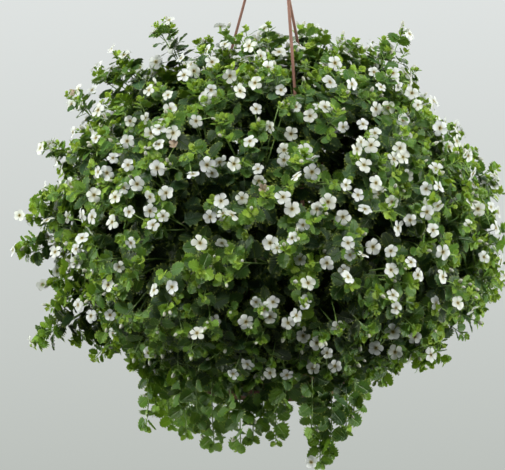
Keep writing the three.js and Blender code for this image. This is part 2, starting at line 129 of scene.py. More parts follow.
# Blooms.
BLOOM_RADIUS = 7.9
BLOOM_CLEARANCE = 10.5
BLOOMS_A_SHOOT = 1.4
MOST_BLOOMS = 4
BUDS_A_SHOOT = 0.5
BLOOM_HEIGHTS = (-0.75, -0.45, -0.20, -0.02, 0.12, 0.26, 0.50, 0.70, 1.0)
BLOOM_SHARES = (0.10, 0.24, 0.32, 0.38, 0.80, 2.00, 2.00, 1.15, 0.80)
PETAL_ROWS = ((0.14, 0.11), (0.36, 0.235), (0.60, 0.36), (0.82, 0.405), (0.97, 0.28))
PETAL_COLUMNS = (-1.0, -0.42, 0.42, 1.0)
PETAL_ANGLES = (0, 71, 146, 214, 289)
WILTED_SHARE = 0.012
# A lobe of the calyx: how far outwards, sideways and up each corner is.
SEPAL = (
    (0.10, 0.07, -0.74), (0.10, -0.07, -0.74), (0.19, -0.055, -0.50), (0.19, 0.055, -0.50),
    (0.27, 0, -0.20),
)

# Sprigs that stand out of the bush's outline: the pixel of the photo at which each ends, and its depth.
SPRIG_TIPS = (
    (160, 18, 0), (114, 54, -15), (100, 70, 20), (69, 89, 0), (206, 34, 10), (228, 30, -22),
    (243, 30, -24), (268, 24, 15), (312, 26, 66), (352, 38, 0), (384, 40, -10), (401, 34, 10),
    (44, 142, 0), (60, 172, 20), (32, 200, 10), (12, 248, 0), (26, 216, -20), (40, 286, 20),
    (48, 304, -25), (28, 346, 0), (68, 350, 15), (94, 358, -20), (128, 370, 0), (384, 378, 0),
    (426, 372, 15), (444, 364, -15), (474, 318, 0), (456, 126, 0), (478, 148, 15), (495, 166, -15),
    (499, 188, 10), (414, 70, 0),
)
# The blooms that the photo shows well: the pixel of each, from the top down.
SEEN_BLOOMS = (
    (169, 20), (225, 44), (249, 46), (172, 46), (279, 52), (181, 58), (333, 50), (371, 47), (383, 49),
    (124, 55), (156, 62), (140, 68), (100, 65), (110, 72), (212, 62), (184, 75), (194, 71), (230, 76),
    (268, 68), (335, 63), (344, 72), (374, 72), (393, 73), (330, 82), (352, 84), (255, 83), (381, 87),
    (398, 86), (149, 90), (92, 90), (211, 90), (240, 91), (281, 90), (412, 93), (168, 95), (98, 110),
    (170, 109), (256, 109), (296, 107), (325, 107), (376, 109), (388, 108), (418, 105), (310, 116),
    (196, 121), (130, 121), (403, 120), (363, 124), (92, 129), (270, 127), (343, 127), (440, 128),
    (151, 133), (173, 133), (291, 134), (375, 133), (405, 135), (127, 141), (250, 141), (361, 142),
    (457, 141), (371, 145), (174, 145), (400, 148), (52, 152), (305, 150), (284, 150), (357, 149),
    (284, 160), (313, 158), (394, 159), (403, 157), (57, 162), (113, 158), (128, 165), (157, 168),
    (234, 164), (207, 165), (258, 169), (364, 165), (107, 173), (98, 172), (193, 174), (212, 173),
    (312, 172), (296, 176), (473, 174), (137, 184), (124, 188), (259, 181), (264, 190), (346, 185),
    (376, 183), (426, 189), (439, 187), (494, 185), (94, 195), (115, 197), (150, 197), (166, 193),
    (358, 195), (221, 201), (242, 198), (283, 197), (392, 202), (365, 209), (292, 209), (317, 209),
    (328, 202), (427, 212), (438, 206), (478, 209), (491, 207), (150, 211), (163, 216), (129, 212),
    (92, 217), (68, 217), (210, 217), (232, 215), (343, 217), (410, 220), (47, 220), (112, 222),
    (153, 225), (303, 225), (398, 228), (433, 230), (469, 225), (496, 228), (48, 237), (82, 238),
    (131, 243), (222, 243), (200, 243), (292, 238), (270, 243), (277, 248), (348, 243), (373, 247),
    (391, 251), (443, 252), (76, 249), (350, 255), (363, 255), (55, 252), (13, 250), (484, 257),
    (76, 262), (119, 267), (411, 262), (327, 263), (344, 270), (391, 270), (501, 260), (348, 277),
    (418, 275), (443, 277), (108, 285), (154, 290), (172, 287), (308, 283), (393, 295), (256, 302),
    (273, 302), (264, 309), (305, 302), (78, 305), (396, 308), (458, 303), (110, 315), (246, 322),
    (270, 317), (288, 323), (473, 310), (91, 316), (338, 327), (113, 334), (197, 333), (393, 332),
    (415, 337), (31, 342), (376, 348), (317, 343), (327, 353), (395, 352), (411, 358), (431, 355),
    (148, 353), (335, 366), (313, 368), (270, 373), (287, 375), (233, 374),
)
FRONT_SHARE = 0.08  # of the blooms that would grow by chance on the side that the photo shows
# The trailing stems at the front: the pixels of the photo at which they end.
TRAILING_TIPS = (
    (153, 390), (146, 424), (156, 408), (182, 394), (187, 427), (201, 416), (215, 433), (230, 398),
    (241, 431), (253, 422), (262, 396), (275, 424), (284, 390), (304, 386), (309, 418), (318, 449),
    (327, 438), (343, 420), (351, 402), (361, 386),
)
TRAILING_FILL = 60  # further trailing stems, all round the pot
# The photo's outline, within which all other sprigs end: rows of pixels, with its left and right there.
# The bush goes past the photo's edge on the right, where its own shape is kept.
OUTLINE_ROWS = (20, 35, 50, 70, 90, 110, 140, 170, 200, 240, 270, 300, 320, 335, 350, 370, 390)
OUTLINE_LEFT = (160, 160, 113, 98, 65, 70, 43, 48, 25, 22, 42, 42, 38, 60, 70, 118, 135)
OUTLINE_RIGHT = (405, 409, 405, 413, 422, 438, 472, 520, 520, 520, 520, 510, 480, 450, 450, 425, 400)
OUTLINE_SPARE = 9
# The photo's dark gaps between the shoots: the pixel of each, and its radius in pixels.
GAPS = np.array((
    (193, 133, 13), (230, 152, 14), (271, 115, 12), (270, 148, 12), (334, 157, 17), (160, 178, 14),
    (222, 190, 12), (303, 192, 12), (344, 205, 12), (183, 208, 12), (108, 228, 13), (178, 226, 14),
    (261, 232, 14), (330, 232, 12), (383, 226, 12), (160, 257, 13), (260, 266, 17), (376, 266, 13),
    (140, 300, 14), (290, 306, 12), (330, 312, 14), (215, 310, 11), (413, 240, 10), (350, 128, 10),
    (117, 134, 10), (154, 112, 10), (149, 277, 11), (168, 243, 10), (105, 112, 8),
))
GAP_DEPTH = 0.74  # of the way out to the bush's surface, where each gap ends

# The camera sees the photo's frame: a pixel is a millimetre at the hook's own depth.
PIXELS_WIDE = 505
PIXELS_HIGH = 470
HOOK_PIXEL = 274  # the hook's axis in the photo, from the left
PIXEL_LEVEL = -157  # the level of the photo's top edge
AIM = Vector((-21.5, 0, -392)) * MM
CAMERA_DISTANCE = 2.5
AMBIENT = 0.09  # how strongly the surroundings light the plant
CAMERA_ELEVATION = math.radians(6)
CAMERA_UP = np.array((0.0, math.sin(CAMERA_ELEVATION), math.cos(CAMERA_ELEVATION)))
CAMERA_BACK = np.array((0.0, -math.cos(CAMERA_ELEVATION), math.sin(CAMERA_ELEVATION)))
EYE = np.array(AIM) / MM + CAMERA_DISTANCE / MM * CAMERA_BACK
SIGHT_STEPS = np.arange(2150, 2650, 1.0)  # distances from the camera between which the bush lies
SENSOR = 36
FLOOR_LEVEL = -2200
FLOOR_RADIUS = 5500


def unit(vectors):
    return vectors / np.linalg.norm(vectors, axis=-1, keepdims=True)


def norm(vectors):
    return np.linalg.norm(vectors, axis=-1)


def square_to(ahead, guide):
    """Two directions square to ahead and to each other, the first of them square to the guide too."""
    across = unit(np.cross(ahead, guide))
    return across, np.cross(across, ahead)


def polar_point(radius, azimuth, height):
    return np.array((radius * math.cos(azimuth), radius * math.sin(azimuth), height))


def smooth_line(points, steps):
    """A Catmull-Rom line through the points, with that many steps from each to the next."""
    points = np.asarray(points, float)
    ends = np.vstack((2 * points[0] - points[1], points, 2 * points[-1] - points[-2]))
    t = np.linspace(0, 1, steps, endpoint=False)[:, None]
    stretches = []
    for a, b, c, d in zip(ends, ends[1:], ends[2:], ends[3:]):
        bend = (2 * a - 5 * b + 4 * c - d) * t**2 + (3 * b - 3 * c + d - a) * t**3
        stretches.append(b + ((c - a) * t + bend) / 2)
    return np.vstack((*stretches, points[-1:]))


def along_line(line, distances):
    """Places at distances back from the line's tip, with the line's direction there."""
    backwards = line[::-1]
    reached = np.append(0, np.cumsum(norm(np.diff(backwards, axis=0))))

    def at(distance):
        return np.stack([np.interp(distance, reached, backwards[:, i]) for i in range(3)], axis=1)

    return at(distances), unit(at(distances - 1.5) - at(distances + 1.5))


class Form:
    """A small mesh that is copied many times. Its u and v say where on the leaf or petal a corner is."""

    def __init__(self):
        self.corners, self.uv, self.faces, self.materials = [], [], [], []

    def corner(self, place, uv=(0.5, 0.0)):
        self.corners.append(place)
        self.uv.append(uv)
        return len(self.corners) - 1

    def face(self, *corners, material=0):
        for pair in zip(corners[1:], corners[2:]):
            self.faces.append((corners[0], *pair))
            self.materials.append(material)

    def done(self):
        """The form with arrays in place of its lists."""
        self.corners, self.uv = np.array(self.corners, float), np.array(self.uv, float)
        self.faces, self.materials = np.array(self.faces), np.array(self.materials)
        return self


def linked(name, data):
    """A new object in the scene."""
    made = bpy.data.objects.new(name, data)
    bpy.context.scene.collection.objects.link(made)
    return made


def fill(items, key, values, kind=np.float32):
    """Writes an array into one property of all items."""
    items.foreach_set(key, values.astype(kind).ravel())


class Piece:
    """Gathers the triangles of one piece, with the values that its materials read: how old each corner is
    and its tint, and on leaves painted shade and a painted sky sheen too.
    """

    def __init__(self):
        self.rows = {key: [] for key in ("corners", "faces", "uv", "age_and_shade", "tint_and_sheen", "materials")}
        self.count = 0

    def add(self, corners, faces, *others):
        for rows, values in zip(self.rows.values(), (corners, faces + self.count, *others)):
            rows.append(values)
        self.count += len(corners)

    def place(self, form, origins, alongs, normals, sizes, ages_and_shade, tints_and_sheens):
        """A copy of form at each origin, with its y along alongs and its z along normals."""
        copies, size = len(origins), len(form.corners)
        if not copies:
            return
        axes = np.stack((np.cross(alongs, normals), alongs, normals), axis=1)
        turned = np.einsum("ki,nij->nkj", form.corners, axes)
        self.add(
            (origins[:, None] + sizes[:, None, None] * turned).reshape(-1, 3),
            (form.faces + size * np.arange(copies)[:, None, None]).reshape(-1, 3),
            np.tile(form.uv, (copies, 1)),
            np.repeat(ages_and_shade, size),
            np.repeat(tints_and_sheens, size),
            np.tile(form.materials, copies),
        )

    def place_one(self, form, centre, facing, beside, size, age_and_shade, tint_and_sheen):
        """One copy of form, which faces along facing and has its y square to beside."""
        along = unit(np.cross(facing, beside))
        self.place(form, *(np.array([value]) for value in (centre, along, facing, size, age_and_shade, tint_and_sheen)))

    def tube(self, line, radii, sides, age_and_shade):
        """A round stem along a line, closed at its ends, between which its radius changes evenly."""
        steps = len(line)
        ahead = unit(np.gradient(line, axis=0))
        across, over = square_to(ahead, UP if abs(ahead[0][2]) < 0.8 else REARWARD)
        turn = (math.tau * np.arange(sides) / sides)[:, None]
        ring = np.cos(turn) * across[:, None] + np.sin(turn) * over[:, None]
        corners = (line[:, None] + np.linspace(*radii, steps)[:, None, None] * ring).reshape(-1, 3)
        start = np.arange(steps - 1)[:, None] * sides
        here, beside = start + np.arange(sides), start + np.roll(np.arange(sides), -1)
        walls = np.stack((here, here + sides, beside + sides, here, beside + sides, beside), axis=-1)
        last = (steps - 1) * sides
        caps = [(0, i, i + 1) for i in range(1, sides - 1)]
        caps += [(last, last + i + 1, last + i) for i in range(1, sides - 1)]
        faces = np.vstack((walls.reshape(-1, 3), caps))
        uv = np.column_stack((np.tile(np.arange(sides) / sides, steps), np.repeat(np.arange(steps), sides)))
        plain = np.ones(len(corners))
        self.add(corners, faces, uv, age_and_shade * plain, 0.5 * plain, np.ones(len(faces), int))

    def finish(self, name, node, number, surface, slot):
        """Makes the mesh object, in metres, that stands for the node with this number."""
        joined = {key: np.concatenate(rows) for key, rows in self.rows.items()}
        faces = joined["faces"]
        mesh = bpy.data.meshes.new(f"{name}_{number:02d}")
        mesh.from_pydata(joined["corners"] * MM, (), faces, shade_flat=False)
        fill(mesh.polygons, "material_index", joined["materials"], np.int32)
        for key in ("age_and_shade", "tint_and_sheen"):
            fill(mesh.attributes.new(key, "FLOAT", "POINT").data, "value", joined[key])
        fill(mesh.uv_layers.new(name="place").data, "uv", joined["uv"][faces.ravel()])
        for material in (surface, STEM):
            mesh.materials.append(material)
        mesh.update(calc_edges=True)
        mesh.validate()
        dress(linked(mesh.name, mesh), [f"{node}_{number:02d}"])


def dress(thing, nodes):
    """Rides an object on the part's one body, and hides the nodes it stands for."""
    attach(thing, "root")
    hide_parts(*nodes)


# Materials.
class Shader:
    """The nodes of a material or world, with short calls for the kinds that are used here."""

    def __init__(self, owner, surface="Principled BSDF"):
        self.owner = owner
        owner.use_nodes = True
        self.nodes, self.links = owner.node_tree.nodes, owner.node_tree.links
        self.surface = self.nodes[surface]

    def set(self, socket, value):
        """Links the socket to another one, or gives it a constant. A colour gets its alpha here."""
        if isinstance(value, bpy.types.NodeSocket):
            self.links.new(value, socket)
        else:
            socket.default_value = (*value, 1) if isinstance(value, tuple) else value

    def look(self, **values):
        """Sets inputs of the surface, each named with _ for a space."""
        for name, value in values.items():
            self.set(self.surface.inputs[name.replace("_", " ")], value)

    def node(self, kind, inputs=(), **settings):
        """A new node with these settings and inputs, which are given by number or name."""
        made = self.nodes.new("ShaderNode" + kind)
        for name, value in settings.items():
            setattr(made, name, value)
        for key, value in dict(inputs).items():
            self.set(made.inputs[key], value)
        return made

    def maths(self, operation, *values):
        return self.node("Math", enumerate(values), operation=operation).outputs[0]

    def plus(self, one, two):
        return self.maths("ADD", one, two)

    def minus(self, one, two):
        return self.maths("SUBTRACT", one, two)

    def times(self, one, two):
        return self.maths("MULTIPLY", one, two)

    def varied(self, value, noise, spread):
        """A value that noise moves up and down."""
        return self.plus(value, self.times(self.minus(noise, 0.5), spread))

    def stripes(self, place, count, power):
        """Narrow stripes of 0 between wide ones of 1, as veins are."""
        waves = self.maths("SINE", self.times(place, count))
        return self.maths("POWER", self.maths("ABSOLUTE", waves), power)

    def ramp(self, factor, *stops):
        """A colour ramp through (position, colour) stops."""
        made = self.node("ValToRGB", {0: factor})
        elements = made.color_ramp.elements
        while len(elements) < len(stops):
            elements.new(0.5)
        for element, (position, colour) in zip(elements, stops):
            element.position = position
            element.color = (*colour, 1)
        return made.outputs[0]

    def mix(self, factor, first, second, blend="MIX"):
        inputs = {0: factor, 6: first, 7: second}
        return self.node("Mix", inputs, data_type="RGBA", blend_type=blend).outputs[2]

    def attribute(self, name):
        return self.node("Attribute", attribute_name=name).outputs["Fac"]

    def place(self):
        """The u and v of the leaf or petal."""
        place = self.node("UVMap", uv_map="place").outputs[0]
        return self.node("SeparateXYZ", {0: place}).outputs[:2]

    def noise(self, scale, detail=3.0, rough=0.5):
        """Noise over the object's own coordinates, at `scale` features a metre."""
        where = self.node("TexCoord").outputs["Object"]
        inputs = {"Vector": where, "Scale": scale, "Detail": detail, "Roughness": rough}
        return self.node("TexNoise", inputs).outputs["Fac"]

    def bump(self, height, strength, distance):
        inputs = {"Height": height, "Strength": strength, "Distance": distance * MM}
        normal = self.node("Bump", inputs).outputs[0]
        self.look(Normal=normal)
        return normal

    def let_light_through(self, colour, share, normal):
        """Mixes in light from the far side of a thin leaf or petal."""
        through = self.node("BsdfTranslucent", {"Color": colour, "Normal": normal}).outputs[0]
        mixed = self.node("MixShader", {0: share, 1: self.surface.outputs[0], 2: through})
        self.set(self.nodes["Material Output"].inputs["Surface"], mixed.outputs[0])


def leaf_material():
    """Lime at the shoot tips, then mid to dark green, with pale veins between soft quilts; painted shade on
    inner and low leaves, a painted blue-green sky sheen on leaves that face up, and painted light at the
    margins.
    """
    s = Shader(bpy.data.materials.new("bacopa_leaf"))
    u, v = s.place()
    age_and_shade, tint_and_sheen = s.attribute("age_and_shade"), s.attribute("tint_and_sheen")
    blotch = s.noise(95)
    greens_and_painted_shade = s.ramp(
        s.varied(age_and_shade, blotch, 0.35),
        (0.0, (0.335, 0.490, 0.050)),
        (0.18, (0.196, 0.362, 0.032)),
        (0.38, (0.081, 0.202, 0.024)),
        (0.64, (0.034, 0.105, 0.011)),
        # painted shade: these darkest stops make inner and deep leaves nearly black
        (0.86, (0.013, 0.051, 0.006)),
        (1.0, (0.006, 0.022, 0.003)),
    )
    # painted sky sheen: leaves that face up are mixed towards blue-green, as if the sky shone on them
    greens_with_painted_sheen = s.mix(s.times(tint_and_sheen, 0.80), greens_and_painted_shade, (0.052, 0.127, 0.062))
    from_rib = s.maths("ABSOLUTE", s.minus(u, 0.5))
    rib = s.maths("SMOOTH_MIN", s.times(from_rib, 22.0), 1.0, 0.3)
    side_veins = s.stripes(s.minus(v, s.times(from_rib, 0.60)), 34.0, 0.35)
    quilt = s.times(rib, side_veins)
    veined = s.mix(s.times(s.minus(1.0, quilt), 0.34), greens_with_painted_sheen, (0.220, 0.330, 0.025))
    # painted light: a pale yellow-green margin stands for light shining through each leaf's edge
    rim = s.times(s.maths("POWER", s.times(from_rib, 2.0), 8.0), 0.60)
    veined = s.mix(rim, veined, (0.420, 0.520, 0.080))
    gloss = s.plus(0.26, s.times(blotch, 0.22))
    s.look(Base_Color=veined, Roughness=gloss, Specular_IOR_Level=0.45)
    normal = s.bump(s.plus(quilt, s.times(s.noise(1400, 2), 0.25)), 0.9, 0.6)
    youth = s.times(s.minus(1.0, age_and_shade), 0.5)
    glow = s.mix(youth, s.mix(0.6, (0, 0, 0), veined, "ADD"), (0.300, 0.480, 0.006))
    s.let_light_through(glow, 0.33, normal)
    return s.owner


def stem_material():
    """Thin green stems, browner where they are old."""
    s = Shader(bpy.data.materials.new("bacopa_stem"))
    grain = s.noise(420)
    colour = s.ramp(
        s.varied(s.attribute("age_and_shade"), grain, 0.5),
        (0.0, (0.200, 0.320, 0.060)),
        (0.5, (0.120, 0.210, 0.045)),
        (1.0, (0.085, 0.080, 0.035)),
    )
    s.look(Base_Color=colour, Roughness=0.55)
    s.bump(grain, 0.4, 0.3)
    return s.owner


def petal_material():
    """White petals with faint grey veins, a yellow throat, and brown when they are spent."""
    s = Shader(bpy.data.materials.new("bacopa_petal"))
    outwards, across = s.place()
    veins = s.times(s.minus(1.0, s.stripes(across, 24.0, 0.4)), 0.30)
    cast = s.mix(s.attribute("tint_and_sheen"), (0.63, 0.66, 0.64), (0.61, 0.64, 0.56))
    white = s.mix(veins, cast, (0.36, 0.37, 0.39))
    throat = s.ramp(
        s.varied(outwards, s.noise(700, 2), 0.10),
        (0.0, (0.220, 0.140, 0.030)),
        (0.12, (0.460, 0.340, 0.080)),
        (0.22, (0.640, 0.590, 0.370)),
        (0.36, (0.820, 0.820, 0.780)),
        (0.64, (1.0, 1.0, 1.0)),
    )
    fresh = s.mix(1.0, white, throat, "MULTIPLY")
    spent = s.ramp(s.noise(300), (0.3, (0.260, 0.160, 0.090)), (0.7, (0.540, 0.430, 0.310)))
    colour = s.mix(s.attribute("age_and_shade"), fresh, spent)
    s.look(Base_Color=colour, Roughness=0.55, Specular_IOR_Level=0.3)
    height = s.plus(s.times(veins, -2.0), s.times(s.noise(900, 2), 0.4))
    s.let_light_through(colour, 0.35, s.bump(height, 0.35, 0.3))
    return s.owner


def plastic_material():
    """Reddish brown moulded plastic: a fine grain, faint streaks and rubbed patches."""
    s = Shader(bpy.data.materials.new("brown_plastic"))
    streaks = s.noise(26, 4, 0.6)
    colour = s.ramp(
        streaks,
        (0.25, (0.120, 0.060, 0.042)),
        (0.55, (0.165, 0.086, 0.060)),
        (0.85, (0.235, 0.138, 0.102)),
    )
    gloss = s.plus(0.50, s.times(streaks, 0.24))
    s.look(Base_Color=colour, Roughness=gloss, Specular_IOR_Level=0.22)
    s.bump(s.noise(1800, 2), 0.22, 0.2)
    return s.owner


def soil_material():
    """Moist peat: dark crumbs with paler fibres."""
    s = Shader(bpy.data.materials.new("peat_soil"))
    crumbs = s.noise(260, 6, 0.7)
    colour = s.ramp(
        crumbs,
        (0.30, (0.010, 0.006, 0.004)),
        (0.52, (0.034, 0.020, 0.012)),
        (0.72, (0.090, 0.056, 0.034)),
    )
    s.look(Base_Color=colour, Roughness=0.92)
    s.bump(crumbs, 0.9, 1.6)
    return s.owner


def floor_material():
    """A pale backdrop: it glows a little for the camera alone, so that it doesn't light the plant."""
    s = Shader(bpy.data.materials.new("pale_floor"))
    colour = s.ramp(s.noise(3, 2), (0.3, (0.30, 0.31, 0.30)), (0.7, (0.33, 0.34, 0.33)))
    seen = s.node("LightPath").outputs["Is Camera Ray"]
    s.look(Base_Color=colour, Roughness=0.8, Emission_Color=(0.45, 0.475, 0.45), Emission_Strength=seen)
    return s.owner


LEAF = leaf_material()
STEM = stem_material()
PETAL = petal_material()
PLASTIC = plastic_material()
SOIL = soil_material()


# Pot, soil, hook and strands.
def object_from(grid, name, *materials):
    """A mesh object in metres, from a bmesh in millimetres."""
    bmesh.ops.recalc_face_normals(grid, faces=grid.faces)
    bmesh.ops.scale(grid, vec=(MM, MM, MM), verts=grid.verts)
    mesh = bpy.data.meshes.new(name)
    grid.to_mesh(mesh)
    grid.free()
    for material in materials:
        mesh.materials.append(material)
    return linked(name, mesh)


def ellipse(centre, across, over, wide, thick, sides):
    """Points round an ellipse whose half axes are wide along across and thick along over."""
    turn = (math.tau * np.arange(sides) / sides)[:, None]
    return centre + wide * np.cos(turn) * across + thick * np.sin(turn) * over


def lofted(rings):
    """A bmesh skin over rings of points, with a face across each end."""
    grid = bmesh.new()
    rows = [[grid.verts.new(point) for point in ring] for ring in rings]
    for one, two in zip(rows, rows[1:]):
        for k in range(len(one)):
            after = (k + 1) % len(one)
            grid.faces.new((one[k], one[after], two[after], two[k]))
    grid.faces.new(rows[0])
    grid.faces.new(rows[-1][::-1])
    return grid


def lathed(profile, segments, centre=(0, 0, 0)):
    """A closed solid of revolution about an upright axis, as a bmesh."""
    grid = bmesh.new()
    corners = [grid.verts.new((radius, 0, height)) for radius, height in profile]
    edges = [grid.edges.new(pair) for pair in zip(corners, corners[1:])]
    bmesh.ops.spin(grid, geom=corners + edges, axis=(0, 0, 1), angle=math.tau, steps=segments)
    bmesh.ops.remove_doubles(grid, verts=grid.verts, dist=1e-3)
    bmesh.ops.translate(grid, vec=centre, verts=grid.verts)
    return grid


def rounded(profile, radius, steps):
    """A profile with each inner corner turned into a small arc."""
    points = [Vector(p) for p in profile]
    made = [points[0]]
    for before, corner, after in zip(points, points[1:], points[2:]):
        back, ahead = before - corner, after - corner
        reach = min(radius, back.length * 0.45, ahead.length * 0.45)
        start, end = corner + back.normalized() * reach, corner + ahead.normalized() * reach
        for i in range(steps + 1):
            t = i / steps
            made.append((1 - t) ** 2 * start + 2 * t * (1 - t) * corner + t * t * end)
    return [tuple(p) for p in [*made, points[-1]]]


def cylinder(centre, reach, radius):
    """A cylinder that goes as far as the vector reach on both sides of its centre."""
    reach = Vector(reach)
    grid = bmesh.new()
    bmesh.ops.create_cone(
        grid, cap_ends=True, segments=24, radius1=radius, radius2=radius, depth=2 * reach.length
    )
    turn = Vector(UP).rotation_difference(reach).to_matrix()
    bmesh.ops.rotate(grid, matrix=turn, verts=grid.verts)
    bmesh.ops.translate(grid, vec=Vector(centre), verts=grid.verts)
    return object_from(grid, "tool")


def combine(base, tools, operation):
    """Cuts or joins the tools, which are then removed, and keeps the result as base's own mesh."""
    for tool in tools:
        step = base.modifiers.new("boolean", "BOOLEAN")
        step.operation = operation
        step.solver = "EXACT"
        step.object = tool
    graph = bpy.context.evaluated_depsgraph_get()
    graph.update()
    result = bpy.data.meshes.new_from_object(base.evaluated_get(graph))
    base.modifiers.clear()
    base.data = result
    for tool in tools:
        bpy.data.objects.remove(tool)


def dress_plastic(thing, node):
    """Smooths a plastic piece except at its sharp edges, and dresses its node in it."""
    thing.data.set_sharp_from_angle(angle=SHARP_ANGLE)
    thing.data.polygons.foreach_set("use_smooth", [True] * len(thing.data.polygons))
    dress(thing, [node])


def make_pot():
    base = RIM_LEVEL - POT_HEIGHT
    inner = POT_TOP_RADIUS - POT_WALL
    lip, flange = RIM_LEVEL - LIP_DROP, RIM_LEVEL - FLANGE
    floor = base + FLANGE + 1
    profile = [
        (0, base + 1.5), (POT_BASE_RADIUS - 14, base + 1.5), (POT_BASE_RADIUS - 11, base),
        (POT_BASE_RADIUS, base), (POT_TOP_RADIUS, lip), (POT_TOP_RADIUS, flange),
        (RIM_RADIUS - POT_WALL, flange), (RIM_RADIUS - POT_WALL, lip), (RIM_RADIUS, lip),
        (RIM_RADIUS, RIM_LEVEL), (inner, RIM_LEVEL), (inner, lip),
        (POT_BASE_RADIUS - POT_WALL, floor), (0, floor),
    ]
    pot = object_from(lathed(rounded(profile, 1.6, 3), 96), "plastic_pot", PLASTIC)
    holes = []
    for i in range(DRAIN_HOLES):
        drain = polar_point(DRAIN_RING_RADIUS, math.tau * i / DRAIN_HOLES, base)
        holes.append(cylinder(drain, 9 * UP, DRAIN_HOLE_RADIUS))
    for azimuth in STRAND_AZIMUTHS:
        seat = polar_point(STRAND_RING_RADIUS, azimuth, RIM_LEVEL)
        holes.append(cylinder(seat, 2 * FLANGE * UP, STRAND_HOLE_RADIUS))
    combine(pot, holes, "DIFFERENCE")
    dress_plastic(pot, "pot")


def make_soil():
    """A crumbly dome of soil down to the pot's floor."""
    low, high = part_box("soil")
    bottom = low.z / MM
    radius = POT_TOP_RADIUS - POT_WALL - 0.6
    crown = high.z / MM - SOIL_LEVEL
    profile = [(0, bottom), (POT_BASE_RADIUS - 5, bottom), (radius - 1.5, SOIL_LEVEL)]
    rings = 26
    for i in range(1, rings + 1):
        share = 1 - i / rings
        profile.append(((radius - 1.5) * share, SOIL_LEVEL + crown * (1 - share**2)))
    grid = lathed(profile, 120)
    rng = np.random.default_rng(SEED + 1)
    for corner in grid.verts:
        if corner.co.z > SOIL_LEVEL - 1 and math.hypot(corner.co.x, corner.co.y) < radius - 3:
            corner.co.z += rng.uniform(-2.6, 0.2)
    dress(object_from(grid, "potting_soil", SOIL), ["soil"])


def strand_ends(azimuth):
    top = polar_point(HUB_RING_RADIUS, azimuth + HANGER_TWIST, HUB_LEVEL)
    bottom = polar_point(STRAND_RING_RADIUS, azimuth, RIM_LEVEL - FLANGE)
    return top, bottom


def make_strand(number, azimuth):
    """A strand that widens into a flat strap towards the rim, with a domed knob at each end."""
    top, bottom = strand_ends(azimuth)
    ahead = unit(bottom - top)
    across, over = square_to(ahead, polar_point(1, azimuth, 0))
    rings = []
    for share in np.linspace(0, 1, 41):
        centre = top - 2 * ahead + (bottom - top + 4 * ahead) * share
        rings.append(ellipse(centre, across, over, 1.5 + 0.6 * share**2, 1.5 - 0.45 * share, 16))
    strand = object_from(lofted(rings), f"strand_{number}", PLASTIC)
    dome = [(KNOB_RADIUS * r, KNOB_HEIGHT * h) for r, h in ((0, 0), (1, 0), (1, 0.55), (0.55, 1), (0, 1))]
    knobs = []
    for seat, way in ((top, 1), (bottom, -1)):
        profile = [(radius, way * (height + KNOB_GAP)) for radius, height in rounded(dome, 1.0, 3)]
        knobs.append(object_from(lathed(profile, 24, tuple(seat)), "tool"))
    combine(strand, knobs, "UNION")
    dress_plastic(strand, f"hanger_strand_{number}")


def make_hook():
    """The hook's rod, rounded at its tip, and the hub disc with its three holes."""
    bend = HOOK_INSIDE_RADIUS + HOOK_ROD_RADIUS
    line = [(0, 0, HUB_LEVEL + rise) for rise in (-1, 8, 17)]
    for angle in np.radians(np.arange(-30, 200, 25)):
        line.append((bend * math.cos(angle), 0, bend * math.sin(angle) - HOOK_INSIDE_RADIUS))
    line = smooth_line(line, 8)
    overs = np.cross(unit(np.gradient(line, axis=0)), REARWARD)
    left = np.minimum(np.arange(len(line))[::-1] / 5, 1)
    radii = np.maximum(HOOK_ROD_RADIUS * np.sqrt(1 - (1 - left) ** 2), 0.5)
    rings = [ellipse(p, REARWARD, over, r, r, 24) for p, over, r in zip(line, overs, radii)]
    hook = object_from(lofted(rings), "hanger_hook", PLASTIC)
    under, crown = HUB_LEVEL - HUB_THICKNESS, HUB_LEVEL + 3
    disc = [
        (0, under), (HUB_RADIUS, under), (HUB_RADIUS, HUB_LEVEL),
        (5, HUB_LEVEL), (3.6, crown), (0, crown),
    ]
    combine(hook, [object_from(lathed(rounded(disc, 1.2, 4), 48), "tool")], "UNION")
    holes = []
    for azimuth in STRAND_AZIMUTHS:
        top, bottom = strand_ends(azimuth)
        reach = unit(bottom - top) * (HUB_THICKNESS + 2)
        holes.append(cylinder(top, reach, HUB_HOLE_RADIUS))
    combine(hook, holes, "DIFFERENCE")
    dress_plastic(hook, "hook")


# Forms of the leaf, bloom and bud.
def zipped(rib, margin):
    """Triangles between two rows of (index, share along) whose shares both rise."""
    faces, i, k = [], 0, 0
    while i < len(rib) - 1 or k < len(margin) - 1:
        if k == len(margin) - 1 or (i < len(rib) - 1 and rib[i + 1][1] <= margin[k + 1][1]):
            faces.append((rib[i][0], margin[k][0], rib[i + 1][0]))
            i += 1
        else:
            faces.append((rib[i][0], margin[k][0], margin[k + 1][0]))
            k += 1
    return faces


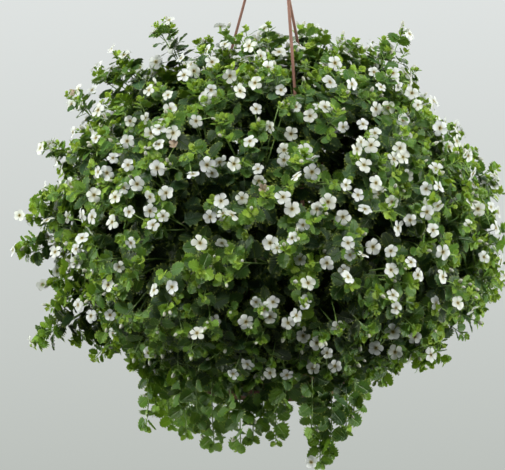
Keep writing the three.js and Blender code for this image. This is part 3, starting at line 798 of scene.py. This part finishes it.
def leaf_form(teeth, rib_steps, rng):
    """A round heart-shaped blade of length 1 on a short petiole, with blunt teeth along its margin."""
    fold, curl, dome = rng.uniform(0.05, 0.55), rng.uniform(0.0, 0.55), rng.uniform(0.1, 0.9)
    lean = rng.uniform(-0.08, 0.08)
    width = rng.uniform(0.48, 0.57)
    form = Form()

    def corner(t, x, out=0.0):
        rise = fold * abs(x) - dome * x * x - curl * t * t * 0.6 + rng.uniform(-0.030, 0.030)
        return form.corner((x + lean * t, PETIOLE + t, rise), (0.5 + 0.5 * out, t))

    rib = [(corner(t, 0.0), t) for t in np.linspace(0, 1, rib_steps + 1)]
    edges = np.linspace(0.0, 0.96, teeth + 1)
    for side in (1, -1):
        margin = []
        for k in range(teeth):
            notch, reach = edges[k], edges[k + 1] - edges[k]
            if k:
                margin.append((notch + 0.10 * reach, 0.74 * rng.uniform(0.94, 1.03)))
            margin.append((notch + 0.62 * reach, 1.09 * rng.uniform(0.95, 1.05)))
        margin.append((edges[-1], 0.72))
        row = []
        for t, share in margin:
            half = width * share * math.sin(math.pi * t**0.74) ** 0.52
            row.append((corner(t - 0.05 * (1 - t) ** 3, side * half, side * share), t))
        for face in zipped(rib, row):
            form.face(*(face if side > 0 else face[::-1]))
    top = PETIOLE + 0.02
    stalk = [form.corner((x, y, 0.0)) for x, y in ((-0.02, 0), (0.02, 0), (0.024, top), (-0.024, top))]
    form.face(*stalk, material=1)
    return form.done()


def spokes(angle):
    """The directions outwards and sideways at an angle round +Z."""
    return np.array(((math.cos(angle), math.sin(angle), 0), (-math.sin(angle), math.cos(angle), 0)))


def bloom_form(rng, spent=False):
    """A bloom of radius 1 that faces +Z: five round petals, a throat with stamens, a tube and a calyx."""
    form = Form()
    furl = 0.55 if spent else 1.0
    for number, degrees in enumerate(PETAL_ANGLES):
        out, side = spokes(math.radians(degrees + rng.uniform(-5, 5)))
        length = rng.uniform(0.93, 1.05)
        lift = rng.uniform(0.5, 0.9) if spent else rng.uniform(-0.16, 0.20)
        tip_curl = rng.uniform(-0.22, 0.06)
        roll = rng.uniform(-0.12, 0.12)
        cup = rng.uniform(-0.02, 0.14)
        grid = []
        for reach, half in PETAL_ROWS:
            row = []
            for c in PETAL_COLUMNS:
                far = reach * length * (1 - 0.14 * c * c * reach)
                height = lift * reach**2 + tip_curl * reach**5 + roll * c * reach + cup * c * c * reach
                height += rng.uniform(-0.012, 0.012) + 0.012 * number * reach
                place = (out * far + side * half * c) * furl + UP * height
                row.append(form.corner(place, (reach, 0.5 + 0.5 * c * half / 0.42)))
            grid.append(row)
        for one, two in zip(grid, grid[1:]):
            for k in range(len(PETAL_COLUMNS) - 1):
                form.face(one[k], two[k], two[k + 1], one[k + 1])
    ring_of(form, ((0, -0.42, 0.05), (0.17, 0.0, 0.16)), 10, 0)
    ring_of(form, ((0.06, -0.22, 0.08), (0.075, -0.02, 0.08), (0, 0.06, 0.08)), 4, 0)
    ring_of(form, ((0.17, -0.02, 0.5), (0.12, -0.35, 0.5), (0.09, -0.72, 0.5)), 6, 1)
    for i in range(5):
        out, side = spokes(math.tau * (i + 0.5) / 5)
        sepal = [form.corner(x * out + y * side + z * UP) for x, y, z in SEPAL]
        form.face(*sepal[:4], material=1)
        form.face(sepal[3], sepal[2], sepal[4], material=1)
    return form.done()


def ring_of(form, profile, sides, material):
    """A small round wall about +Z through rows of radius, height and u. A radius of 0 is a point."""
    rows = []
    for radius, height, u in profile:
        angles = math.tau * np.arange(sides if radius else 1) / sides
        row = [form.corner((radius * math.cos(a), radius * math.sin(a), height), (u, 0.5)) for a in angles]
        rows.append(row * (sides // len(row)))
    for one, two in zip(rows, rows[1:]):
        for i in range(sides):
            after = (i + 1) % sides
            form.face(*dict.fromkeys((one[i], two[i], two[after], one[after])), material=material)


def bud_form():
    """A closed bud along +Z: a green calyx and a cream tip."""
    form = Form()
    ring_of(form, ((0, -0.9, 0.5), (0.36, -0.62, 0.5), (0.44, -0.1, 0.5)), 6, 1)
    ring_of(form, ((0.34, -0.25, 0.32), (0.42, 0.25, 0.32), (0.26, 0.72, 0.32), (0, 0.95, 0.32)), 6, 0)
    return form.done()


form_rng = np.random.default_rng(SEED)
FINE_LEAVES = [leaf_form(5, 4, form_rng) for _ in range(8)]
YOUNG_LEAVES = [leaf_form(4, 2, form_rng) for _ in range(5)]
SHADE_LEAVES = [leaf_form(3, 1, form_rng) for _ in range(5)]
BLOOMS = [bloom_form(form_rng) for _ in range(7)]
SPENT_BLOOMS = [bloom_form(form_rng, spent=True) for _ in range(3)]
BUD = bud_form()


# The bush.
lump_rng = np.random.default_rng(SEED + 2)
LUMP_WAVES = lump_rng.normal(0, LUMP_DENSITY, (LUMP_COUNT, 3))
LUMP_PHASES = lump_rng.uniform(0, math.tau, LUMP_COUNT)


def bush_radius(directions):
    """The distance from the bush's centre to its surface of shoot tips, along each direction."""
    upward = directions[..., 2]
    outward = np.hypot(directions[..., 0], directions[..., 1])
    tall = np.where(upward > 0, BUSH_ABOVE, BUSH_BELOW)
    power = np.where(upward > 0, POWER_ABOVE, POWER_BELOW)
    wide = BUSH_RADIUS * (1 + BUSH_LEAN * directions[..., 0])
    plain = ((np.abs(upward) / tall) ** power + (outward / wide) ** power) ** (-1 / power)
    lumps = np.sin(directions @ LUMP_WAVES.T + LUMP_PHASES).sum(axis=-1)
    parting = np.exp(-(((directions[..., 0] - PARTING_SIDE) / PARTING_WIDTH) ** 2))
    parting = parting * np.clip(-3 * directions[..., 1], 0, 1) * np.clip(4 * upward - 1.6, 0, 1)
    return plain * (1 + LUMPS * lumps - PARTING_DIP * parting)


def photo_point(pixel, depth):
    """The point at a depth behind the hook's axis that the photo shows at a pixel."""
    return np.array((pixel[0] - HOOK_PIXEL, depth, PIXEL_LEVEL - pixel[1]))


def photo_ray(pixel):
    """The direction in which the camera sees a pixel of the photo."""
    across = np.array((pixel[0] - PIXELS_WIDE / 2, 0.0, 0.0))
    over = (PIXELS_HIGH / 2 - pixel[1]) * CAMERA_UP
    return unit(across + over - CAMERA_DISTANCE / MM * CAMERA_BACK)


def photo_pixels(places):
    """The columns and rows of the photo at which the camera sees places."""
    offsets = places - EYE
    scale = -CAMERA_DISTANCE / MM / (offsets @ CAMERA_BACK)
    return PIXELS_WIDE / 2 + scale * offsets[:, 0], PIXELS_HIGH / 2 - scale * (offsets @ CAMERA_UP)


def in_gap(places):
    """True where a leaf would fill one of the photo's dark gaps."""
    columns, rows = photo_pixels(places)
    offsets = places - BUSH_CENTRE
    outer = norm(offsets) > GAP_DEPTH * bush_radius(unit(offsets))
    aside = np.hypot(columns[:, None] - GAPS[:, 0], rows[:, None] - GAPS[:, 1])
    return outer & (places[:, 1] < 0) & (aside < GAPS[:, 2]).any(axis=1)


def in_outline(places):
    """True where the photo shows a point well inside the plant's outline."""
    columns, rows = photo_pixels(places)
    left = np.interp(rows, OUTLINE_ROWS, OUTLINE_LEFT)
    right = np.interp(rows, OUTLINE_ROWS, OUTLINE_RIGHT)
    return (left + OUTLINE_SPARE < columns) & (columns < right - OUTLINE_SPARE)


def seen_on_bush(pixel, lift):
    """The point at which the camera's ray through a pixel reaches the bush, or None where it passes by."""
    steps = EYE + SIGHT_STEPS[:, None] * photo_ray(pixel)
    offsets = steps - BUSH_CENTRE
    inside = norm(offsets) < bush_radius(unit(offsets)) + lift
    return steps[inside.argmax()] if inside.any() else None


def in_parting(places, spare):
    """True where a leaf or bloom would hide a strand from the front above the level where it goes in."""
    hiding = np.zeros(len(places), bool)
    for azimuth, level in zip(STRAND_AZIMUTHS, PARTING_LEVELS):
        top, bottom = strand_ends(azimuth)
        share = (places[:, 2] - top[2]) / (bottom[2] - top[2])
        strand = top + share[:, None] * (bottom - top)
        entry = top[1] + (level - top[2]) / (bottom[2] - top[2]) * (bottom[1] - top[1])
        sight = level - (places[:, 1] - entry) * math.tan(CAMERA_ELEVATION)
        beside = np.abs(places[:, 0] - strand[:, 0]) < spare
        hiding |= beside & (places[:, 1] < strand[:, 1] + spare) & (places[:, 2] > sight)
    return hiding


class Mound:
    """One leafy stem's share of the bush. Its hub is where the stem ends and the branches start."""

    def __init__(self, number):
        share = (number + 0.5) / LEAFY_STEMS
        polar = math.acos(1 - share * (1 - math.cos(LOWEST_POLAR)))
        azimuth = number * GOLDEN_ANGLE + SPIRAL_TURN
        outward = polar_point(math.sin(polar), azimuth, math.cos(polar))
        radius = float(bush_radius(outward))
        self.number = number + 1
        self.hub = BUSH_CENTRE + 0.48 * radius * outward
        self.centre = BUSH_CENTRE + 0.80 * radius * outward
        root = polar_point(ROOT_SPREAD * math.sqrt(share), azimuth, SOIL_LEVEL - SOIL_HOLE_DEPTH)
        rise = (root + self.hub) / 2
        rise[2] = RIM_LEVEL + 24 + 10 * max(0.0, math.sin(polar - math.radians(50)))
        self.stem = smooth_line((root, root + (SOIL_HOLE_DEPTH + 13) * UP, rise, self.hub), 6)
        self.sprigs = []
        self.blooms = Piece()


def sprig_tips(rng):
    """The photo's outlying tips, then evenly scattered places over the bush, down to its underside.

    Places beyond the photo's outline are drawn in towards the middle of the bush.
    """
    tips = [photo_point((column, row), depth) for column, row, depth in SPRIG_TIPS]
    directions = unit(rng.normal(size=(SPRIG_TRIES, 3)))
    directions = directions[directions[:, 2] > math.cos(BUSH_UNDERSIDE)]
    reaches = bush_radius(directions)
    for _ in range(12):
        outside = ~in_outline(BUSH_CENTRE + reaches[:, None] * directions)
        reaches[outside] *= 0.98
    for place in BUSH_CENTRE + reaches[:, None] * directions:
        if norm(np.array(tips) - place).min() > SPRIG_SPACING:
            tips.append(place)
    return tips


def in_pot(places, spare=4):
    """True for places inside the pot or against its wall."""
    reach, level = np.hypot(places[:, 0], places[:, 1]), places[:, 2]
    taper = (POT_TOP_RADIUS - POT_BASE_RADIUS) / (POT_HEIGHT - LIP_DROP)
    lip = RIM_LEVEL - LIP_DROP
    wall = np.where(level > lip - 2, RIM_RADIUS, POT_TOP_RADIUS + taper * (level - lip))
    return (reach < wall + spare) & (level < RIM_LEVEL + spare) & (level > RIM_LEVEL - POT_HEIGHT - spare)


def grow_leaves(piece, line, distances, lengths, ages_and_shade, rng, forms, outward, steep, display=0.0):
    """Opposite pairs of leaves on a line, each pair turned a quarter from the last.

    steep is the angle of the first and the last pair from square to the stem. display turns the
    leaves of a hanging stem to face outward.
    """
    kept = distances < norm(np.diff(line, axis=0)).sum() - 2
    distances, lengths, ages_and_shade = distances[kept], lengths[kept], ages_and_shade[kept]
    pairs = len(distances)
    if not pairs:
        return
    count = 2 * pairs
    number = np.repeat(np.arange(pairs), 2)
    places, axes = (values[number] for values in along_line(line, distances))
    sizes = lengths[number] * rng.uniform(0.82, 1.14, count)
    across, over = square_to(axes, np.where(np.abs(axes[:, 2:]) < 0.8, UP, REARWARD))
    turn = rng.uniform(0, math.pi) + number * math.pi / 2 + np.tile((0, math.pi), pairs)
    turn = (turn + rng.normal(0, 0.22, count))[:, None]
    radial = np.cos(turn) * across + np.sin(turn) * over
    radial = unit(radial - display * (radial @ outward)[:, None] * outward)
    share = (number / max(1, pairs - 1))[:, None]
    lift = steep[0] * (1 - share) + steep[1] * share + rng.normal(0, 0.16, (count, 1))
    along = unit(radial * np.cos(lift) + axes * np.sin(lift) - UP * 0.10 * share)
    face = (0.85 - display) * axes + (0.25 + display) * outward + (0.15 + 0.4 * share) * UP
    face = unit(face + rng.normal(0, 0.42, (count, 3)))
    face = unit(face - (face * along).sum(axis=1, keepdims=True) * along)
    ages_and_shade = np.clip(ages_and_shade[number] + rng.normal(0, 0.10, count), 0, 1)
    # painted sky sheen: the blue-green cast is random, and it grows on older leaves that face up
    tints_and_sheens = rng.uniform(0, 1, count) * ages_and_shade * np.clip(0.15 + face[:, 2], 0, 1)
    middles = places + along * sizes[:, None] * 0.7
    free = ~in_pot(middles) & ~in_parting(middles, 9) & ~in_gap(middles)
    kinds = rng.integers(0, len(forms), count)
    for kind, form in enumerate(forms):
        chosen = free & (kinds == kind)
        piece.place(form, *(values[chosen] for values in (places, along, face, sizes, ages_and_shade, tints_and_sheens)))


def grow_shoot(piece, line, rng, outward, vigour, shade):
    """A leafy shoot: lime leaves crowded at its tip, larger and darker pairs further back. shade darkens
    all its leaves as painted shade.
    """
    piece.tube(line, (STEM_BASE, STEM_TIP), 3, age_and_shade=0.35)
    distances = NODE_DISTANCES * rng.uniform(0.88, 1.15) * vigour
    lengths = NODE_LEAVES * rng.uniform(0.88, 1.12) * vigour
    # shade is painted shade, added on top of how old each leaf is
    ages_and_shade = np.clip(np.clip((distances - 2.5) / 26, 0, 1) ** 0.8 + shade, 0, 1)
    young, old = distances < YOUNG_REACH, distances > SHADE_REACH
    for part, forms, steep in (
        (young, YOUNG_LEAVES, (1.15, 0.60)),
        (~young & ~old, FINE_LEAVES, (0.55, 0.15)),
        (old, SHADE_LEAVES, (0.15, 0.05)),
    ):
        grow_leaves(piece, line, distances[part], lengths[part], ages_and_shade[part], rng, forms, outward, steep)


class Sprig:
    """A branch end that opens into a few shoots. Its richness is its share of blooms."""

    def __init__(self, mound, tip, lone, rng):
        self.lone = lone
        self.direction = unit(tip - BUSH_CENTRE)
        height = self.direction[2]
        toward = unit(tip - mound.hub)
        self.heading = unit(toward * 0.5 + self.direction * 0.6 + UP * (0.16 if height > -0.2 else -0.25))
        self.tip = tip + self.heading * (-2 if lone else rng.normal(0, 4))
        self.base = self.tip - SPRIG_LENGTH * unit(toward + 0.4 * self.heading)
        amid = np.clip((0.75 - abs(self.direction[0])) / 0.2, 0, 1)
        # painted shade: low sprigs towards the middle get darker leaves, which also grow a little larger
        self.lowness = 0.0 if lone else amid * np.clip((-height - 0.08) / 0.5, 0, 1)
        self.richness = rng.gamma(4.0, 0.28) * np.interp(height, BLOOM_HEIGHTS, BLOOM_SHARES)

    def shoots(self, rng):
        guide = UP if abs(self.heading[2]) < 0.9 else np.array((1.0, 0, 0))
        across, over = square_to(self.heading, guide)
        count = 3 if self.lone else rng.integers(3, 6)
        start = rng.uniform(0, math.tau)
        lines = []
        for i in range(count):
            turn = start + math.tau * i / (count - 1)
            spread = SHOOT_SPREAD * rng.uniform(0.75, 1.2) * (0.6 if self.lone else 1) if i else 0
            drop = rng.uniform(4, 20) if i else 0
            sideways = math.cos(turn) * across + math.sin(turn) * over
            tip = self.tip + spread * sideways - drop * self.heading + rng.normal(0, 2.5, 3)
            middle = self.base + 0.45 * (self.tip - self.base) + 0.55 * spread * sideways
            lines.append(smooth_line((self.base, middle, tip), 4))
        return lines


seen_rng = np.random.default_rng(SEED + 4)
seen_blooms = [(pixel, seen_on_bush(pixel, seen_rng.uniform(-6, 6))) for pixel in SEEN_BLOOMS]
taken_blooms = [place for pixel, place in seen_blooms if place is not None]
stalks = []  # the shoots that can bear the photo's blooms, each with its mound's blooms


def add_bloom(piece, place, axis, centre, direction, waver, rng):
    """A bloom on a pedicel from a place on a shoot, facing outward and a little astray."""
    facing = unit(direction * (0.9, 0.9, 0.35) + 0.12 * UP)
    facing = unit(facing + rng.normal(0, waver, 3))
    radius = BLOOM_RADIUS * rng.uniform(0.76, 1.08)
    calyx = centre - 0.72 * radius * facing
    piece.tube(smooth_line((place, (place + calyx) / 2 + 1.5 * axis, calyx), 2), (0.38, 0.38), 3, age_and_shade=0.1)
    beside = unit(rng.normal(size=3))
    wilted = rng.random() < WILTED_SHARE
    forms = SPENT_BLOOMS if wilted else BLOOMS
    form = forms[rng.integers(0, len(forms))]
    piece.place_one(form, centre, facing, beside, radius, 0.85 if wilted else 0.0, rng.random())


def add_seen_blooms():
    """The photo's own blooms, each on the nearest shoot."""
    points = np.concatenate([line for line, _ in stalks])
    owners = np.repeat(np.arange(len(stalks)), [len(line) for line, _ in stalks])
    for pixel, centre in seen_blooms:
        if centre is None:
            ray = photo_ray(pixel)
            along = (points - EYE) @ ray
            anchor = (norm(points - EYE - along[:, None] * ray) + 0.05 * along).argmin()
            centre = EYE + (along[anchor] - 6) * ray
        else:
            anchor = norm(points - centre).argmin()
        line, piece = stalks[owners[anchor]]
        axis = unit(line[-1] - line[-3])
        outward = unit(unit(centre - BUSH_CENTRE) - 0.6 * REARWARD)
        add_bloom(piece, points[anchor], axis, centre, outward, 0.30, seen_rng)


def grow_blooms(piece, line, direction, richness, rng, furthest=24):
    """Blooms on pedicels from the shoot's upper pairs, with a bud or two beside its tip."""

    def somewhere(least, most):
        """A place on the shoot, the shoot's direction there, and a way out of it."""
        place, axis = (row[0] for row in along_line(line, furthest * rng.uniform(least, most, 1)))
        return place, axis, unit(np.cross(axis, rng.normal(size=3)))

    stalks.append((line, piece))
    chance = np.interp(direction[1], (-0.40, 0.15), (FRONT_SHARE, 1.0))
    for _ in range(min(MOST_BLOOMS, rng.poisson(BLOOMS_A_SHOOT * richness * chance))):
        place, axis, sideways = somewhere(0.2, 1.0)
        reach = unit(0.75 * direction + 0.55 * axis + 0.62 * sideways + 0.12 * UP)
        centre = place + reach * rng.uniform(11, 17)
        if in_pot(centre[None], 8)[0] or in_parting(centre[None], 12)[0]:
            continue
        if norm(np.array(taken_blooms) - centre).min() < BLOOM_CLEARANCE:
            continue
        taken_blooms.append(centre)
        add_bloom(piece, place, axis, centre, direction, 0.40, rng)
    for _ in range(rng.poisson(BUDS_A_SHOOT)):
        place, axis, sideways = somewhere(0.02, 0.42)
        facing = unit(0.7 * axis + 0.6 * sideways + 0.5 * direction)
        centre = place + facing * rng.uniform(6, 11)
        piece.tube(np.array((place, centre - 2 * facing)), (0.32, 0.32), 3, age_and_shade=0.1)
        piece.place_one(BUD, centre, facing, sideways, rng.uniform(3.2, 4.7), 0.0, rng.random())


def nearest_mound(mounds, place):
    return min(mounds, key=lambda mound: norm(mound.centre - place))


def make_bush(mounds):
    """The leafy stems with their sprigs. Their blooms stay open for more from the trailing stems."""
    rng = np.random.default_rng(SEED + 3)
    for i, tip in enumerate(sprig_tips(rng)):
        mound = nearest_mound(mounds, tip)
        mound.sprigs.append(Sprig(mound, tip, i < len(SPRIG_TIPS), rng))
    for mound in mounds:
        rng = np.random.default_rng(SEED + 100 + mound.number)
        leaves = Piece()
        leaves.tube(mound.stem, (2.4, 1.8), 8, age_and_shade=0.95)
        for sprig in mound.sprigs:
            branch = smooth_line((mound.hub, (mound.hub + sprig.base) / 2 - 6 * UP, sprig.base), 4)
            leaves.tube(branch, (1.5, 1.0), 5, age_and_shade=0.75)
            inner = np.arange(2, 130, 13.0)
            sizes = rng.uniform(16, 20, len(inner))
            # painted shade: the inner leaves on the branch take the darkest, nearly black green
            ages_and_shade = np.full(len(inner), 0.95)
            grow_leaves(leaves, branch, inner, sizes, ages_and_shade, rng, SHADE_LEAVES, sprig.direction, (0.3, 0.1))
            for line in sprig.shoots(rng):
                if in_parting(line, 5).any() or in_gap(line[-1:])[0]:
                    continue
                vigour = rng.uniform(0.9, 1.1) * (1 + 0.12 * sprig.lowness)
                grow_shoot(leaves, line, rng, sprig.direction, vigour, 0.36 * sprig.lowness)
                grow_blooms(mound.blooms, line, sprig.direction, sprig.richness, rng)
        leaves.finish("leaves", "leafy_stem", mound.number, LEAF, "foliage")


def trailing_line(tip, sway):
    """A stem that leaves the soil near the pot's wall, bends over the rim and hangs to its tip."""
    azimuth = math.atan2(tip[1], tip[0])
    reach = math.hypot(tip[0], tip[1])
    hang = max(reach, TRAILING_HANG_RADIUS)
    drop = RIM_LEVEL - tip[2]
    bends = (
        (TRAILING_ROOT_RADIUS, SOIL_LEVEL - SOIL_HOLE_DEPTH),
        (TRAILING_ROOT_RADIUS, SOIL_LEVEL + 9),
        (RIM_RADIUS - 8, RIM_LEVEL + 17),
        (hang + 6, RIM_LEVEL),
        (hang + sway, RIM_LEVEL - 0.4 * drop),
        (reach - sway / 2, RIM_LEVEL - 0.75 * drop),
    )
    return smooth_line((*(polar_point(radius, azimuth, level) for radius, level in bends), tip), 3)


def trailing_tips(rng):
    """The photo's tips round the front, and many more all round and among them."""
    tips = []
    for pixel in TRAILING_TIPS:
        tip = photo_point(pixel, 0)
        reach = max(rng.uniform(102, 116), abs(tip[0]) + 4)
        tip[1] = -math.sqrt(reach**2 - tip[0] ** 2)
        tips.append(tip)
    for i in range(TRAILING_FILL):
        azimuth = math.tau * (i + rng.uniform(-0.4, 0.4)) / TRAILING_FILL
        rearward = math.sin(azimuth)
        sideward = min(1.0, max(0.0, 0.6 + rearward))
        drop = TRAILING_DROP * (0.75 - 0.10 * math.cos(azimuth)) * rng.uniform(0.60, 0.95)
        drop += 36 * sideward - 12 * max(0.0, -rearward)
        if sideward > 0.3:
            drop = max(drop, POT_HEIGHT - 13)
        tips.append(polar_point(rng.uniform(92, 112), azimuth, RIM_LEVEL - drop))
    return tips


def make_trailing(mounds):
    rng = np.random.default_rng(SEED + 300)
    pieces = [Piece() for _ in range(TRAILING_STEMS)]
    for index, tip in enumerate(trailing_tips(rng)):
        azimuth = math.atan2(tip[1], tip[0])
        line = trailing_line(tip, rng.uniform(-9, 9))
        piece = pieces[round((azimuth - TRAILING_TURN) * TRAILING_STEMS / math.tau) % TRAILING_STEMS]
        piece.tube(line, (1.3, 0.6), 5, age_and_shade=0.4)
        distances = np.concatenate(((1.0, 4.5), np.arange(10, 230, rng.uniform(8.5, 11))))
        lengths = np.interp(distances, (0, 8, 22), (6, 11.5, 15.5)) * rng.uniform(0.9, 1.1)
        ages_and_shade = np.clip(0.30 + distances / 130, 0, 0.84)
        forward = 0.9 if index < len(TRAILING_TIPS) else 0.0
        outward = unit(polar_point(1, azimuth, 0) - forward * REARWARD)
        grow_leaves(piece, line, distances, lengths, ages_and_shade, rng, FINE_LEAVES, outward, (0.8, 0.10), 0.4)
        grow_blooms(nearest_mound(mounds, tip).blooms, line, outward, 0.3, rng, 60)
    for i, piece in enumerate(pieces):
        piece.finish("trailing", "trailing_stem", i + 1, LEAF, "foliage")


make_pot()
make_soil()
make_hook()
for index, strand_azimuth in enumerate(STRAND_AZIMUTHS):
    make_strand(index + 1, strand_azimuth)
bush_mounds = [Mound(i) for i in range(LEAFY_STEMS)]
make_bush(bush_mounds)
make_trailing(bush_mounds)
add_seen_blooms()
for bush_mound in bush_mounds:
    bush_mound.blooms.finish("blooms", "bloom_spray", bush_mound.number, PETAL, "petals")


# Floor, light and camera.
def make_stage():
    grid = bmesh.new()
    bmesh.ops.create_circle(grid, cap_ends=True, segments=96, radius=FLOOR_RADIUS)
    bmesh.ops.translate(grid, vec=(0, 0, FLOOR_LEVEL), verts=grid.verts)
    object_from(grid, "floor", floor_material())


def make_world():
    """A pale grey studio, darker towards the floor, which lights the plant less than the camera sees."""
    s = Shader(bpy.data.worlds.new("studio"), "Background")
    upward = s.node("SeparateXYZ", {0: s.node("TexCoord").outputs["Generated"]}).outputs[2]
    level = s.plus(s.times(upward, 5.0), 1.0)
    grey = s.ramp(level, (0.0, (0.500, 0.530, 0.500)), (1.0, (0.750, 0.780, 0.770)))
    seen = s.node("LightPath").outputs["Is Camera Ray"]
    s.look(Color=grey, Strength=s.maths("MAXIMUM", seen, AMBIENT))
    bpy.context.scene.world = s.owner


def area_light(name, place, aim, size, power):
    lamp = bpy.data.lights.new(name, "AREA")
    lamp.shape = "DISK"
    lamp.size = size
    lamp.energy = power
    made = linked(name, lamp)
    made.location = place
    made.rotation_euler = (Vector(aim) - Vector(place)).to_track_quat("-Z", "Y").to_euler()


def make_camera():
    data = bpy.data.cameras.new("camera")
    data.sensor_width = SENSOR
    data.lens = SENSOR * CAMERA_DISTANCE / (PIXELS_WIDE * MM)
    made = linked("camera", data)
    back = Vector(CAMERA_BACK)
    made.location = AIM + CAMERA_DISTANCE * back
    made.rotation_euler = (-back).to_track_quat("-Z", "Y").to_euler()
    bpy.context.scene.camera = made


make_stage()
make_world()
area_light("key", (-0.2, -1.2, 1.5), (0, 0, -0.4), 1.1, 70)
area_light("right", (2.0, -0.35, -0.30), (0, 0, -0.4), 1.2, 68)
area_light("left", (-2.0, -0.25, -0.05), (0, 0, -0.4), 1.0, 62)
area_light("rim", (0.3, 1.7, 0.6), (0, 0, -0.4), 1.4, 28)
area_light("back", (-0.3, 1.8, -0.65), (0, 0, -0.5), 1.2, 38)
make_camera()
bpy.context.scene.view_settings.view_transform = "Standard"
